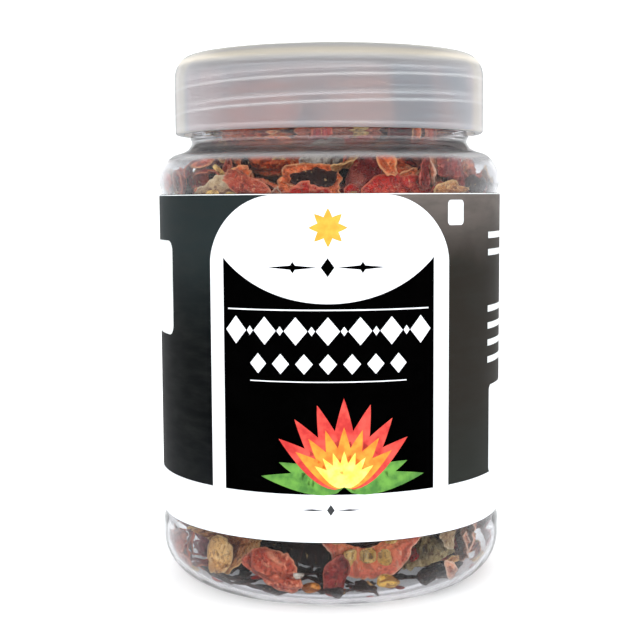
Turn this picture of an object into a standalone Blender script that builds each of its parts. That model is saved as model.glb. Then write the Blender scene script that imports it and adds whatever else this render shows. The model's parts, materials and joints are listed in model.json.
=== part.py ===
"""A clear screw-top jar filled with dried ghost peppers, torn and whole.

The jar is a thin clear blow-moulded shell with a threaded neck. Its cap turns on the thread, with a foam
liner under its top. A printed label is wrapped round the jar in a shallow recess. The fill is made of
torn pepper skins, halved pods, whole pods, stem ends and pith, each one solid, stacked from the floor up.
Metres, +Z up, origin at the centre of the base. The front is towards -Y.
"""

import math

import bmesh
import bpy
import numpy as np
from mathutils import Matrix, Vector
from mathutils.bvhtree import BVHTree

MM = 0.001
SEGMENTS = 48  # sides of every turned piece, so that neighbouring faces run parallel

# The jar, from the floor up
BODY_RADIUS = 36.5 * MM
WALL = 0.9 * MM
FOOT_OUTER = 27.9 * MM
FOOT_INNER = 25.4 * MM
HEEL_HEIGHT = 9.0 * MM
PUSH_UP = 3.2 * MM
PUSH_UP_BEND = (0.55, 0.75)  # shares of the foot's inner radius and of the push-up's height
BASE_THICKNESS = 1.1 * MM
SHOULDER_START = 83.4 * MM
SHOULDER_TOP = 90.2 * MM
SHOULDER_INSET = 4.9 * MM
NECK_RADIUS = 29.4 * MM
NECK_START = 92.4 * MM
NECK_FILLET_RADIAL = 0.5 * MM
NECK_FILLET_AXIAL = 1.2 * MM
NECK_BORE = 27.6 * MM
RIM_TOP = 107.0 * MM
RIM_EDGE = 0.3 * MM

# The label, flush in its recess
LABEL_BOTTOM = 14.6 * MM
LABEL_TOP = 81.7 * MM
RECESS_DEPTH = 0.6 * MM
RECESS_MARGIN = 0.5 * MM
LABEL_THICKNESS = 0.3 * MM
LABEL_GAP = 0.25 * MM
LABEL_SEAM = math.radians(6.0)  # clear strip left open at the back

# The screw thread, right-handed. The cap's ridge runs just below the neck's.
PITCH = 5.0 * MM
THREAD_ROOT = 2.1 * MM
THREAD_CREST = 0.9 * MM
THREAD_SINK = 0.6 * MM
THREAD_FADE = math.radians(30.0)
NECK_THREAD_DEPTH = 1.3 * MM
NECK_THREAD_AT_FRONT = 102.0 * MM
NECK_THREAD_SPAN = (96.9 * MM, 105.0 * MM)
CAP_THREAD_DEPTH = 1.2 * MM
CAP_THREAD_BELOW = 2.05 * MM
CAP_THREAD_SPAN = (97.5 * MM, 105.2 * MM)

# The cap and its liner
CAP_RADIUS = 32.8 * MM
CAP_BORE = 31.1 * MM
CAP_BOTTOM = 94.2 * MM
CAP_TOP = 110.4 * MM
CAP_PLATE = 1.7 * MM
CAP_CORNER_RADIAL = 3.3 * MM
CAP_CORNER_AXIAL = 4.5 * MM
CAP_EDGE = 0.5 * MM
LINER_RADIUS = 30.4 * MM
LINER_THICKNESS = 1.1 * MM
TOUCH_GAP = 0.3 * MM

# The fill
SKIN_THICKNESS = 0.9 * MM
PITH_THICKNESS = 1.3 * MM
CRUMB_THICKNESS = 2.0 * MM
SEED_RADIUS = 1.9 * MM
SEED_HEIGHT = 0.65 * MM
SEED_SIDES = 6
PIECE_CLEARANCE = 0.32 * MM
WALL_CLEARANCE = 0.42 * MM
SEED_SWELL = 1.3
FILL_SEED = 2407
HAND_VARIANTS = 14
LOWER_TRIALS = 26
MIDDLE_TRIALS = 60
UPPER_TRIALS = 40
CENTRE_SPREAD = 0.62  # share of the body's radius, for pieces away from the wall
LOWER_FILL_TOP = 82.5 * MM
MIDDLE_FILL_BOTTOM = 60.0 * MM
UPPER_FILL_BOTTOM = 75.0 * MM
UPPER_FILL_TOP = 105.6 * MM

# The foot of the front stays open between the pieces set there by hand
OPEN_FRONT = math.radians(58.0)
OPEN_HEIGHT = 17.0 * MM
OPEN_INNER = 15.0 * MM

COLOURS = {
    "clear": (0.86, 0.90, 0.92, 0.3),
    "frosted": (0.82, 0.83, 0.83, 0.6),
    "foam": (0.93, 0.92, 0.89, 1.0),
    "print": (0.10, 0.11, 0.11, 1.0),
    "skin": (0.36, 0.06, 0.03, 1.0),
    "pith": (0.62, 0.42, 0.20, 1.0),
    "stem": (0.38, 0.34, 0.19, 1.0),
}
ROUGHNESS = {
    "clear": 0.05, "frosted": 0.4, "foam": 0.8, "print": 0.35, "skin": 0.45, "pith": 0.7, "stem": 0.7,
}


def clear_scene():
    for obj in list(bpy.data.objects):
        bpy.data.objects.remove(obj)


def own_material(name, slot):
    """A material for one piece, with the looks of its slot."""
    made = bpy.data.materials.new(name)
    made.use_nodes = True
    shader = made.node_tree.nodes["Principled BSDF"]
    shader.inputs["Base Color"].default_value = COLOURS[slot]
    shader.inputs["Roughness"].default_value = ROUGHNESS[slot]
    shader.inputs["Alpha"].default_value = COLOURS[slot][3]
    return made


def add_object(name, mesh, slot):
    obj = bpy.data.objects.new(name, mesh)
    mesh.materials.append(own_material(name, slot))
    bpy.context.scene.collection.objects.link(obj)
    return obj


def smooth(mesh, angle=40.0):
    mesh.shade_smooth()
    mesh.set_sharp_from_angle(angle=math.radians(angle))


def ellipse_arc(centre, radial, axial, start, end, steps):
    """Points (radius, height) on an elliptical arc, angles in degrees from the outward direction."""
    angles = np.radians(np.linspace(start, end, steps))
    return [(centre[0] + radial * math.cos(a), centre[1] + axial * math.sin(a)) for a in angles]


def turned(name, profile, slot):
    """A solid of revolution from a profile that starts and ends on the axis, with its inside on the left."""
    form = bmesh.new()
    points = [form.verts.new((radius, 0, height)) for radius, height in profile]
    edges = [form.edges.new(pair) for pair in zip(points, points[1:])]
    bmesh.ops.spin(
        form, geom=points + edges, cent=(0, 0, 0), axis=(0, 0, 1), angle=2 * math.pi, steps=SEGMENTS,
        use_merge=True,
    )
    bmesh.ops.remove_doubles(form, verts=form.verts, dist=1e-6)
    bmesh.ops.dissolve_degenerate(form, edges=form.edges, dist=1e-7)
    bmesh.ops.recalc_face_normals(form, faces=form.faces)
    mesh = bpy.data.meshes.new(name)
    form.to_mesh(mesh)
    form.free()
    smooth(mesh)
    return add_object(name, mesh, slot)


def thread_ridge(name, wall_radius, depth, height_at_front, span):
    """A helical ridge on a wall: depth is positive outwards and negative inwards. It fades at both ends."""
    step = 2 * math.pi / SEGMENTS
    root_share = 0.3  # of the sink, where the crest has faded
    turns = [(height - height_at_front) / PITCH for height in span]
    first = round(turns[0] * SEGMENTS)
    last = round(turns[1] * SEGMENTS)
    sink = -math.copysign(THREAD_SINK, depth)
    form = bmesh.new()
    sections = []
    for k in range(first, last + 1):
        from_end = min(k - first, last - k) * step
        share = min(1.0, from_end / THREAD_FADE)
        angle = -math.pi / 2 + k * step
        height = height_at_front + PITCH * k / SEGMENTS
        crest = wall_radius + depth * share + root_share * sink * (1 - share)
        ends = (
            (wall_radius + sink, -THREAD_ROOT / 2),
            (wall_radius + sink, THREAD_ROOT / 2),
            (crest, THREAD_CREST / 2),
            (crest, -THREAD_CREST / 2),
        )
        section = []
        for radius, up in ends:
            section.append(form.verts.new((radius * math.cos(angle), radius * math.sin(angle), height + up)))
        sections.append(section)
    for a, b in zip(sections, sections[1:]):
        for i in range(4):
            form.faces.new((a[i], a[(i + 1) % 4], b[(i + 1) % 4], b[i]))
    form.faces.new(sections[0])
    form.faces.new(sections[-1])
    bmesh.ops.triangulate(form, faces=form.faces)
    bmesh.ops.recalc_face_normals(form, faces=form.faces)
    mesh = bpy.data.meshes.new(name)
    form.to_mesh(mesh)
    form.free()
    ridge = bpy.data.objects.new(name, mesh)
    bpy.context.scene.collection.objects.link(ridge)
    ridge.hide_render = True
    ridge.display_type = "WIRE"
    return ridge


def join(target, other):
    """Unites a helper solid with its piece, by a Boolean that stays on the object."""
    union = target.modifiers.new("join_" + other.name, "BOOLEAN")
    union.operation = "UNION"
    union.solver = "EXACT"
    union.object = other


def jar_inner_profile():
    """The inside of the jar, from the bore at the rim down to the centre of the floor."""
    inner_radius = BODY_RADIUS - RECESS_DEPTH - WALL
    heel_centre = (FOOT_OUTER, HEEL_HEIGHT)
    shoulder_centre = (BODY_RADIUS - SHOULDER_INSET, SHOULDER_START)
    shoulder = ellipse_arc(
        shoulder_centre, inner_radius - shoulder_centre[0], SHOULDER_TOP - SHOULDER_START - WALL, 80, 0, 5
    )
    heel = ellipse_arc(heel_centre, inner_radius - FOOT_OUTER, HEEL_HEIGHT - BASE_THICKNESS, 0, -90, 4)
    return [
        (NECK_BORE, RIM_TOP - RIM_EDGE),
        (NECK_BORE, NECK_START),
        (NECK_BORE + NECK_FILLET_RADIAL, NECK_START - NECK_FILLET_AXIAL),
        *shoulder,
        *heel,
        (FOOT_INNER - BASE_THICKNESS, BASE_THICKNESS),
        (PUSH_UP_BEND[0] * FOOT_INNER, BASE_THICKNESS + PUSH_UP_BEND[1] * PUSH_UP),
        (0.0, BASE_THICKNESS + PUSH_UP),
    ]


def jar_outer_profile():
    """The outside of the jar, from the centre of the push-up up to the rim."""
    recess_radius = BODY_RADIUS - RECESS_DEPTH
    heel = ellipse_arc((FOOT_OUTER, HEEL_HEIGHT), BODY_RADIUS - FOOT_OUTER, HEEL_HEIGHT, -90, 0, 5)
    shoulder_centre = (BODY_RADIUS - SHOULDER_INSET, SHOULDER_START)
    shoulder = ellipse_arc(shoulder_centre, SHOULDER_INSET, SHOULDER_TOP - SHOULDER_START, 0, 80, 5)
    return [
        (0.0, PUSH_UP),
        (PUSH_UP_BEND[0] * FOOT_INNER, PUSH_UP_BEND[1] * PUSH_UP),
        (FOOT_INNER, 0.0),
        *heel,
        (BODY_RADIUS, LABEL_BOTTOM - RECESS_MARGIN - RECESS_DEPTH),
        (recess_radius, LABEL_BOTTOM - RECESS_MARGIN),
        (recess_radius, LABEL_TOP + RECESS_MARGIN),
        (BODY_RADIUS, LABEL_TOP + RECESS_MARGIN + RECESS_DEPTH),
        *shoulder,
        (NECK_RADIUS + NECK_FILLET_RADIAL, NECK_START - NECK_FILLET_AXIAL),
        (NECK_RADIUS, NECK_START),
        (NECK_RADIUS, RIM_TOP - RIM_EDGE),
        (NECK_RADIUS - RIM_EDGE, RIM_TOP),
        (NECK_BORE + RIM_EDGE, RIM_TOP),
    ]


def make_jar():
    jar = turned("jar", jar_outer_profile() + jar_inner_profile(), "clear")
    ridge = thread_ridge(
        "neck_thread", NECK_RADIUS, NECK_THREAD_DEPTH, NECK_THREAD_AT_FRONT, NECK_THREAD_SPAN
    )
    join(jar, ridge)
    return jar


def make_cap():
    plate_under = CAP_TOP - CAP_PLATE
    corner_centre = (CAP_RADIUS - CAP_CORNER_RADIAL, CAP_TOP - CAP_CORNER_AXIAL)
    corner = ellipse_arc(corner_centre, CAP_CORNER_RADIAL, CAP_CORNER_AXIAL, 0, 90, 6)
    profile = [
        (0.0, plate_under),
        (CAP_BORE - CAP_EDGE, plate_under),
        (CAP_BORE, plate_under - CAP_EDGE),
        (CAP_BORE, CAP_BOTTOM + CAP_EDGE),
        (CAP_BORE + CAP_EDGE, CAP_BOTTOM),
        (CAP_RADIUS - CAP_EDGE, CAP_BOTTOM),
        (CAP_RADIUS, CAP_BOTTOM + CAP_EDGE),
        *corner,
        (0.0, CAP_TOP),
    ]
    cap = turned("cap", profile, "frosted")
    ridge = thread_ridge(
        "cap_thread", CAP_BORE, -CAP_THREAD_DEPTH, NECK_THREAD_AT_FRONT - CAP_THREAD_BELOW, CAP_THREAD_SPAN
    )
    join(cap, ridge)
    return cap


def make_liner():
    top = CAP_TOP - CAP_PLATE - TOUCH_GAP
    bottom = top - LINER_THICKNESS
    profile = [(0.0, bottom), (LINER_RADIUS, bottom), (LINER_RADIUS, top), (0.0, top)]
    return turned("cap_liner", profile, "foam")


def make_label():
    """A thin band in the recess, open at the back where its two ends stop short of each other."""
    inner = BODY_RADIUS - RECESS_DEPTH + LABEL_GAP
    corners = (
        (inner, LABEL_BOTTOM),
        (inner + LABEL_THICKNESS, LABEL_BOTTOM),
        (inner + LABEL_THICKNESS, LABEL_TOP),
        (inner, LABEL_TOP),
    )
    step = 2 * math.pi / SEGMENTS
    back = math.pi / 2
    angles = [back + LABEL_SEAM / 2]
    angles += [back + k * step for k in range(1, SEGMENTS)]
    angles.append(back + 2 * math.pi - LABEL_SEAM / 2)
    form = bmesh.new()
    rows = [
        [form.verts.new((radius * math.cos(a), radius * math.sin(a), height)) for radius, height in corners]
        for a in angles
    ]
    for a, b in zip(rows, rows[1:]):
        for i in range(4):
            form.faces.new((a[i], a[(i + 1) % 4], b[(i + 1) % 4], b[i]))
    form.faces.new(rows[0])
    form.faces.new(rows[-1])
    bmesh.ops.recalc_face_normals(form, faces=form.faces)
    mesh = bpy.data.meshes.new("label")
    form.to_mesh(mesh)
    form.free()
    smooth(mesh)
    return add_object("label", mesh, "print")


class Shape:
    """Points and faces of one closed piece of the fill, about its own middle."""

    def __init__(self, points, faces, slot, seeds=()):
        self.points = np.array(points, float)
        self.faces = [tuple(face) for face in faces]
        self.slot = slot
        self.seeds = list(seeds)


def point_normals(points, faces):
    """Unit normals at the points, weighted by the areas of the faces round them."""
    total = np.zeros_like(points)
    for face in faces:
        a, b, c = points[list(face)]
        area = np.cross(b - a, c - a)
        for i in face:
            total[i] += area
    return total / np.maximum(np.linalg.norm(total, axis=1), 1e-12)[:, None]


def sheet_faces(spokes, rings, first=0):
    """Triangles of one layer of a sheet, counter-clockwise, with its centre at the point numbered first."""
    faces = []
    for k in range(spokes):
        n = (k + 1) % spokes
        faces.append((first, first + 1 + k, first + 1 + n))
        for ring in range(1, rings):
            a = first + 1 + (ring - 1) * spokes
            b = a + spokes
            faces.append((a + k, b + k, b + n))
            faces.append((a + k, b + n, a + n))
    return faces


def torn_skin(rng, length, width, curl, taper=0.2, jag=0.26, crumple=1.3 * MM, thickness=SKIN_THICKNESS,
              slot="skin", seed_count=0, spokes=12, rings=3):
    """A torn piece of dried skin: an uneven outline, wrinkled, rolled about its length and arched along it.
    Its outer side is +Z. Seeds, if any, sit on its inner side."""
    waves = [
        (crumple * rng.uniform(0.5, 1.0) / (1 + 0.5 * i), rng.uniform(180, 330) * (1 + 0.6 * i),
         rng.uniform(0, math.pi), rng.uniform(0, 2 * math.pi))
        for i in range(3)
    ]
    reach = 1 + jag * rng.uniform(-1, 0.6, spokes)
    arch = rng.uniform(1.6, 3.2) * length
    middle = []
    for ring in range(rings + 1):
        for k in range(spokes if ring else 1):
            turn = 2 * math.pi * k / spokes
            out = ring / rings * reach[k]
            x = out * math.cos(turn) * length / 2
            y = out * math.sin(turn) * width / 2 * (1 - taper * math.cos(turn) * out)
            lift = 0.0
            for size, rate, way, phase in waves:
                lift += size * math.sin(rate * (x * math.cos(way) + y * math.sin(way)) + phase)
            roll = y / curl
            side = (curl + lift) * math.sin(roll)
            up = (curl + lift) * math.cos(roll) - curl
            lean = x / arch
            middle.append(((arch + up) * math.sin(lean), side, (arch + up) * math.cos(lean) - arch))
    middle = np.array(middle)
    middle -= middle.mean(axis=0)
    outwards = point_normals(middle, sheet_faces(spokes, rings))
    count = len(middle)
    points = np.vstack([middle + outwards * thickness / 2, middle - outwards * thickness / 2])
    faces = sheet_faces(spokes, rings) + [face[::-1] for face in sheet_faces(spokes, rings, count)]
    edge = 1 + (rings - 1) * spokes
    for k in range(spokes):
        n = (k + 1) % spokes
        faces.append((edge + k, count + edge + k, count + edge + n))
        faces.append((edge + k, count + edge + n, edge + n))
    seats = rng.choice(range(1, edge), size=seed_count, replace=False)
    seeds = []
    for i in seats:
        up = rng.normal(0, 0.25, 3) - outwards[i]
        seeds.append((middle[i] - outwards[i] * (thickness / 2 + 0.15 * MM), up / np.linalg.norm(up)))
    return Shape(points, faces, slot, seeds)


def lofted(rings, slot):
    """A closed solid through rings of points, with each end drawn to its middle, about its own middle."""
    sides = len(rings[0])
    points = np.vstack([np.mean(rings[0], axis=0), *rings, np.mean(rings[-1], axis=0)])
    last = len(points) - 1
    top = 1 + (len(rings) - 1) * sides
    faces = []
    for k in range(sides):
        n = (k + 1) % sides
        faces.append((0, 1 + n, 1 + k))
        for j in range(len(rings) - 1):
            a = 1 + j * sides
            b = a + sides
            faces.append((a + k, a + n, b + n))
            faces.append((a + k, b + n, b + k))
        faces.append((last, top + k, top + n))
    return Shape(points - points.mean(axis=0), faces, slot)


def whole_pod(rng, length, width):
    """A whole dried pod: a flattened, folded cone, a little bowed, with its calyx and a stub of stem."""
    sides = 11
    stem_rings = 3
    stations = [
        (-0.22, 0.07), (-0.1, 0.075), (-0.03, 0.12), (0.0, 0.36), (0.08, 0.46), (0.25, 0.5), (0.45, 0.43),
        (0.62, 0.33), (0.78, 0.21), (0.91, 0.11), (1.0, 0.03),
    ]
    flat = rng.uniform(0.6, 0.75)
    phase = rng.uniform(0, 2 * math.pi)
    rings = []
    for j, (share, half) in enumerate(stations):
        centre = np.array([share * length, 0.0, 0.12 * length * share * share])
        on_pod = j >= stem_rings
        ring = []
        for k in range(sides):
            turn = 2 * math.pi * k / sides
            fold = 0.13 * math.cos(3 * turn + phase + 2.5 * share) + rng.uniform(-0.09, 0.09)
            radius = half * width * (1 + fold * on_pod)
            squash = flat if on_pod else 1.0
            ring.append(centre + np.array([0.0, radius * math.cos(turn), squash * radius * math.sin(turn)]))
        rings.append(ring)
    return lofted(rings, "skin")


def stem_end(rng, length):
    """A broken-off stem end: a curved stem that flares into a calyx with five short lobes."""
    sides = 10
    stations = [(0.0, 0.9), (0.35, 1.1), (0.65, 1.4), (0.8, 2.6), (0.9, 5.4), (1.0, 6.2), (0.93, 2.2)]
    bend = rng.uniform(0.5, 0.9) * length
    rings = []
    for share, radius in stations:
        lean = (1 - share) * length / bend * 0.9
        centre = np.array([bend * (1 - math.cos(lean)), 0.0, -bend * math.sin(lean)])
        across = np.array([math.cos(lean), 0.0, math.sin(lean)])
        ring = []
        for k in range(sides):
            turn = 2 * math.pi * k / sides
            lobe = 1 + (0.22 * math.cos(5 * turn) + rng.uniform(-0.06, 0.06)) * (radius > 3.0)
            reach = radius * MM * lobe
            ring.append(centre + across * reach * math.cos(turn) + np.array([0, reach * math.sin(turn), 0]))
        rings.append(ring)
    return lofted(rings, "stem")


def wall_rows():
    """Heights and radii of the jar's inner wall, from its foot up to its rim."""
    rows = [(height, radius) for radius, height in jar_inner_profile() if radius > 0.98 * NECK_BORE]
    return np.array(sorted(rows)).T


WALL_HEIGHTS, WALL_RADII = wall_rows()
FLOOR_RADII = np.array([0.0, PUSH_UP_BEND[0] * FOOT_INNER, FOOT_INNER - BASE_THICKNESS, BODY_RADIUS])
FLOOR_HEIGHTS = BASE_THICKNESS + PUSH_UP * np.array([1.0, PUSH_UP_BEND[1], 0.0, 0.0])


def inside(points, top):
    """Whether every point keeps clear of the jar's wall and floor, and stays below the top."""
    radii = np.hypot(points[:, 0], points[:, 1])
    heights = points[:, 2]
    wall = np.interp(heights, WALL_HEIGHTS, WALL_RADII) - WALL_CLEARANCE
    floor = np.interp(radii, FLOOR_RADII, FLOOR_HEIGHTS) + WALL_CLEARANCE
    return bool((radii <= wall).all() and (heights >= floor).all() and (heights <= top).all())


def in_open_front(points):
    """Whether any point is in the part of the front's foot that is kept open."""
    radii = np.hypot(points[:, 0], points[:, 1])
    from_front = np.abs(np.arctan2(points[:, 0], -points[:, 1]))
    return bool(((points[:, 2] < OPEN_HEIGHT) & (radii > OPEN_INNER) & (from_front < OPEN_FRONT)).any())


def seed_solid(place, up):
    """Points and faces of one seed: a flat lens."""
    turn = np.array(Vector(up).to_track_quat("Z", "Y").to_matrix())
    ring = []
    for k in range(SEED_SIDES):
        angle = 2 * math.pi * k / SEED_SIDES
        ring.append((SEED_RADIUS * math.cos(angle), 0.85 * SEED_RADIUS * math.sin(angle), 0))
    points = np.array([(0, 0, -SEED_HEIGHT), *ring, (0, 0, SEED_HEIGHT)]) @ turn.T + place
    faces = []
    for k in range(SEED_SIDES):
        n = (k + 1) % SEED_SIDES
        faces.append((0, 1 + n, 1 + k))
        faces.append((SEED_SIDES + 1, 1 + k, 1 + n))
    return points, faces


def tree_of(points, faces):
    return BVHTree.FromPolygons([tuple(p) for p in points], faces)


def swollen(shape):
    """The piece's points and its seeds', grown by the clearance, with their faces."""
    points = shape.points + point_normals(shape.points, shape.faces) * PIECE_CLEARANCE
    faces = list(shape.faces)
    for place, up in shape.seeds:
        seed_points, seed_faces = seed_solid(place, up)
        faces += [tuple(i + len(points) for i in face) for face in seed_faces]
        points = np.vstack([points, place + SEED_SWELL * (seed_points - place)])
    return points, faces


class Fill:
    """Places pieces inside the jar one by one, each where it rests on those already there."""

    STEP = 1.6 * MM

    def __init__(self):
        self.points = []
        self.faces = []
        self.tree = None
        self.placed = []
        self.counts = {}

    def free(self, points, faces, top, by_hand):
        if not inside(points, top) or (not by_hand and in_open_front(points)):
            return False
        return self.tree is None or not self.tree.overlap(tree_of(points, faces))

    def push_to_wall(self, points, azimuth, top):
        """How far the points move outwards along the azimuth to reach the wall, or None if they don't fit."""
        way = np.array([math.cos(azimuth), math.sin(azimuth), 0.0])
        coarse = BODY_RADIUS / 12
        starts = [k * coarse for k in range(13) if inside(points + way * k * coarse, top)]
        if not starts:
            return None
        low = starts[-1]
        high = low + coarse
        for _ in range(6):
            middle = (low + high) / 2
            if inside(points + way * middle, top):
                low = middle
            else:
                high = middle
        return way * low

    def settle(self, shape, turn, azimuth, radius, bottom, top, by_hand=False):
        """The lowest free place above the bottom, as a translation, or None. No radius means by the wall."""
        points, faces = swollen(shape)
        points = points @ turn.T
        height = bottom - points[:, 2].min()
        while height + points[:, 2].max() < top:
            if radius is None:
                move = self.push_to_wall(points + np.array([0, 0, height]), azimuth, top)
            else:
                move = np.array([math.cos(azimuth) * radius, math.sin(azimuth) * radius, 0.0])
            if move is not None:
                move = move + np.array([0, 0, height])
                if self.free(points + move, faces, top, by_hand):
                    return self.lowered(points, faces, move, top, by_hand)
            height += self.STEP
        return None

    def lowered(self, points, faces, move, top, by_hand):
        """Moves a free piece straight down by up to one step, until it rests."""
        low, high = 0.0, self.STEP
        for _ in range(5):
            middle = (low + high) / 2
            if self.free(points + move - np.array([0, 0, middle]), faces, top, by_hand):
                low = middle
            else:
                high = middle
        return move - np.array([0, 0, low])

    def add(self, name, shape, turn, move):
        solids = [(shape.points, shape.faces)] + [seed_solid(place, up) for place, up in shape.seeds]
        for points, faces in solids:
            self.faces += [tuple(i + len(self.points) for i in face) for face in faces]
            self.points += list(points @ turn.T + move)
        self.tree = tree_of(self.points, self.faces)
        self.placed.append((name, shape, turn, move))


def wall_turn(azimuth, spin, tilt, outer_side_out):
    """A turn that lays a sheet against the wall: its length at the angle spin from level, leaning by tilt."""
    out = Vector((math.cos(azimuth), math.sin(azimuth), 0))
    level = Vector((-math.sin(azimuth), math.cos(azimuth), 0))
    face = out if outer_side_out else -out
    length_way = level * math.cos(spin) + Vector((0, 0, 1)) * math.sin(spin)
    across = face.cross(length_way)
    turn = Matrix((length_way, across, face)).transposed()
    return np.array(Matrix.Rotation(tilt, 3, length_way) @ turn)


def random_turn(rng):
    quaternion = rng.normal(size=4)
    w, x, y, z = quaternion / np.linalg.norm(quaternion)
    return np.array([
        [1 - 2 * (y * y + z * z), 2 * (x * y - z * w), 2 * (x * z + y * w)],
        [2 * (x * y + z * w), 1 - 2 * (x * x + z * z), 2 * (y * z - x * w)],
        [2 * (x * z - y * w), 2 * (y * z + x * w), 1 - 2 * (x * x + y * y)],
    ])


def small_flake(rng, length, width, curl, slot="skin", seed_count=0, thickness=SKIN_THICKNESS):
    return torn_skin(rng, length, width, curl, 0.15, 0.22, 0.6 * MM, thickness, slot, seed_count, 10, 2)


def set_piece(fill, rng, name, shape, right, height, spin, tilt=0.0, outer_out=True):
    """Sets a piece by the wall, so many degrees right of the front and millimetres up, its length spun from
    level and leaned by the tilt. Of a few slight variants, the one that stays nearest its height is kept."""
    best = None
    for i in range(HAND_VARIANTS):
        shake = rng.normal(size=3) * min(i, 4) / 4
        azimuth = math.radians(right - 90 + 3.5 * shake[0])
        turn = wall_turn(azimuth, math.radians(spin + 9 * shake[1]), tilt + 0.2 * shake[2], outer_out)
        move = fill.settle(shape, turn, azimuth, None, height * MM, UPPER_FILL_TOP, True)
        if move is None:
            continue
        score = (shape.points @ turn.T)[:, 2].min() + move[2] + 0.4 * MM * abs(shake).sum()
        if best is None or score < best[0]:
            best = (score, turn, move)
    if best is not None:
        fill.add(name, shape, best[1], best[2])


def place_foot_of_front(fill, rng):
    """The pieces that show below the label at the front."""
    opened = torn_skin(rng, 44 * MM, 34 * MM, 11.5 * MM, 0.42, 0.14, 1.1 * MM, seed_count=7)
    set_piece(fill, rng, "half_pod_front", opened, right=17, height=4.0, spin=-90, outer_out=False)
    curled = torn_skin(rng, 24 * MM, 19 * MM, 6.5 * MM, 0.1, 0.2)
    set_piece(
        fill, rng, "skin_front_left", curled, right=-45, height=3.4, spin=40, tilt=0.35, outer_out=False
    )
    set_piece(fill, rng, "stem_end_front", stem_end(rng, 19 * MM), right=46, height=1.6, spin=20, tilt=1.35)
    crumb = small_flake(rng, 4.6 * MM, 2.8 * MM, 4.0 * MM, "pith", 0, CRUMB_THICKNESS)
    set_piece(fill, rng, "crumb_orange", crumb, right=-8, height=1.6, spin=5)
    maroon = small_flake(rng, 7.5 * MM, 4.6 * MM, 3.0 * MM)
    set_piece(fill, rng, "flake_maroon", maroon, right=0, height=1.6, spin=75, tilt=0.3)
    crumb = small_flake(rng, 5.4 * MM, 3.0 * MM, 4.0 * MM, "pith", 0, CRUMB_THICKNESS)
    set_piece(fill, rng, "crumb_yellow", crumb, right=24, height=1.6, spin=-6)
    folded = small_flake(rng, 15 * MM, 12 * MM, 4.0 * MM)
    set_piece(fill, rng, "skin_front_folded", folded, right=-22, height=2.6, spin=-8, tilt=0.5)
    nub = small_flake(rng, 9.5 * MM, 7 * MM, 4.0 * MM, "pith", 1, PITH_THICKNESS)
    set_piece(fill, rng, "pith_front_left", nub, right=-50, height=1.6, spin=70, tilt=0.2)
    upright = torn_skin(rng, 23 * MM, 16 * MM, 7.5 * MM, 0.2, 0.24)
    set_piece(fill, rng, "skin_front_right", upright, right=53, height=5.5, spin=78, tilt=0.25)
    side = torn_skin(rng, 30 * MM, 22 * MM, 9.0 * MM)
    set_piece(fill, rng, "skin_side_right", side, right=80, height=2.0, spin=60, tilt=0.2)
    side = torn_skin(rng, 30 * MM, 24 * MM, 9.0 * MM)
    set_piece(fill, rng, "skin_side_left", side, right=-74, height=3.0, spin=60, tilt=-0.2)


def place_top_of_front(fill, rng):
    """The pieces that show above the label at the front."""
    broad = torn_skin(rng, 30 * MM, 18 * MM, 12.0 * MM, 0.1, 0.16)
    set_piece(fill, rng, "skin_top_right", broad, right=58, height=76.0, spin=4, tilt=0.1)
    broad = torn_skin(rng, 25 * MM, 17 * MM, 10.0 * MM, 0.1, 0.2)
    set_piece(fill, rng, "skin_top_far_left", broad, right=-72, height=76.0, spin=10, tilt=0.2)
    pale = small_flake(rng, 18 * MM, 9 * MM, 11.0 * MM, "pith", 2, PITH_THICKNESS)
    set_piece(fill, rng, "pith_top_left", pale, right=-36, height=78.5, spin=4, tilt=0.1, outer_out=False)
    glossy = small_flake(rng, 17 * MM, 12 * MM, 9.0 * MM, "skin", 1)
    set_piece(fill, rng, "flake_deep_red", glossy, right=-5, height=73.5, spin=-10, tilt=0.2, outer_out=False)
    dark = small_flake(rng, 12 * MM, 7 * MM, 6.0 * MM)
    set_piece(fill, rng, "flake_dark", dark, right=22, height=79.0, spin=85, tilt=0.1)
    pale = small_flake(rng, 12 * MM, 6.5 * MM, 7.0 * MM, "pith", 0, PITH_THICKNESS)
    set_piece(fill, rng, "pith_top_middle", pale, right=4, height=84.5, spin=8, tilt=0.5)
    long = torn_skin(rng, 27 * MM, 10 * MM, 9.0 * MM, 0.1, 0.16)
    set_piece(fill, rng, "skin_top_left", long, right=-34, height=85.5, spin=-3, tilt=0.8)
    high = torn_skin(rng, 22 * MM, 14 * MM, 10.0 * MM, 0.1, 0.2)
    set_piece(fill, rng, "skin_neck_left", high, right=-38, height=90.0, spin=6, tilt=0.1)
    high = torn_skin(rng, 17 * MM, 12 * MM, 9.0 * MM, 0.1, 0.2, seed_count=2)
    set_piece(fill, rng, "skin_neck_middle", high, right=5, height=89.0, spin=8, tilt=0.1, outer_out=False)
    high = torn_skin(rng, 21 * MM, 14 * MM, 9.0 * MM, 0.1, 0.2)
    set_piece(fill, rng, "skin_neck_right", high, right=45, height=89.0, spin=-8, tilt=0.1)


def lower_pieces(rng):
    """Large pieces for the body of the jar: (kind, shape, share of trials against the wall)."""
    rows = [("stem_end", stem_end(rng, 24 * MM), 1.0)]
    for _ in range(5):
        pod = whole_pod(rng, rng.uniform(40, 47) * MM, rng.uniform(22, 26) * MM)
        rows.append(("whole_pod", pod, 0.3))
    for _ in range(3):
        curl = rng.uniform(10, 12) * MM
        half = torn_skin(rng, rng.uniform(42, 47) * MM, 33 * MM, curl, 0.42, 0.14, 1.1 * MM, seed_count=3)
        rows.append(("half_pod", half, 0.8))
    for _ in range(14):
        length = rng.uniform(30, 42) * MM
        width = rng.uniform(0.62, 0.82) * length
        curl = rng.uniform(7.5, 11) * MM
        crumple = rng.uniform(1.0, 1.7) * MM
        skin = torn_skin(rng, length, width, curl, rng.uniform(0.1, 0.4), rng.uniform(0.2, 0.32), crumple)
        rows.append(("skin", skin, 0.8))
    return rows


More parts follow.
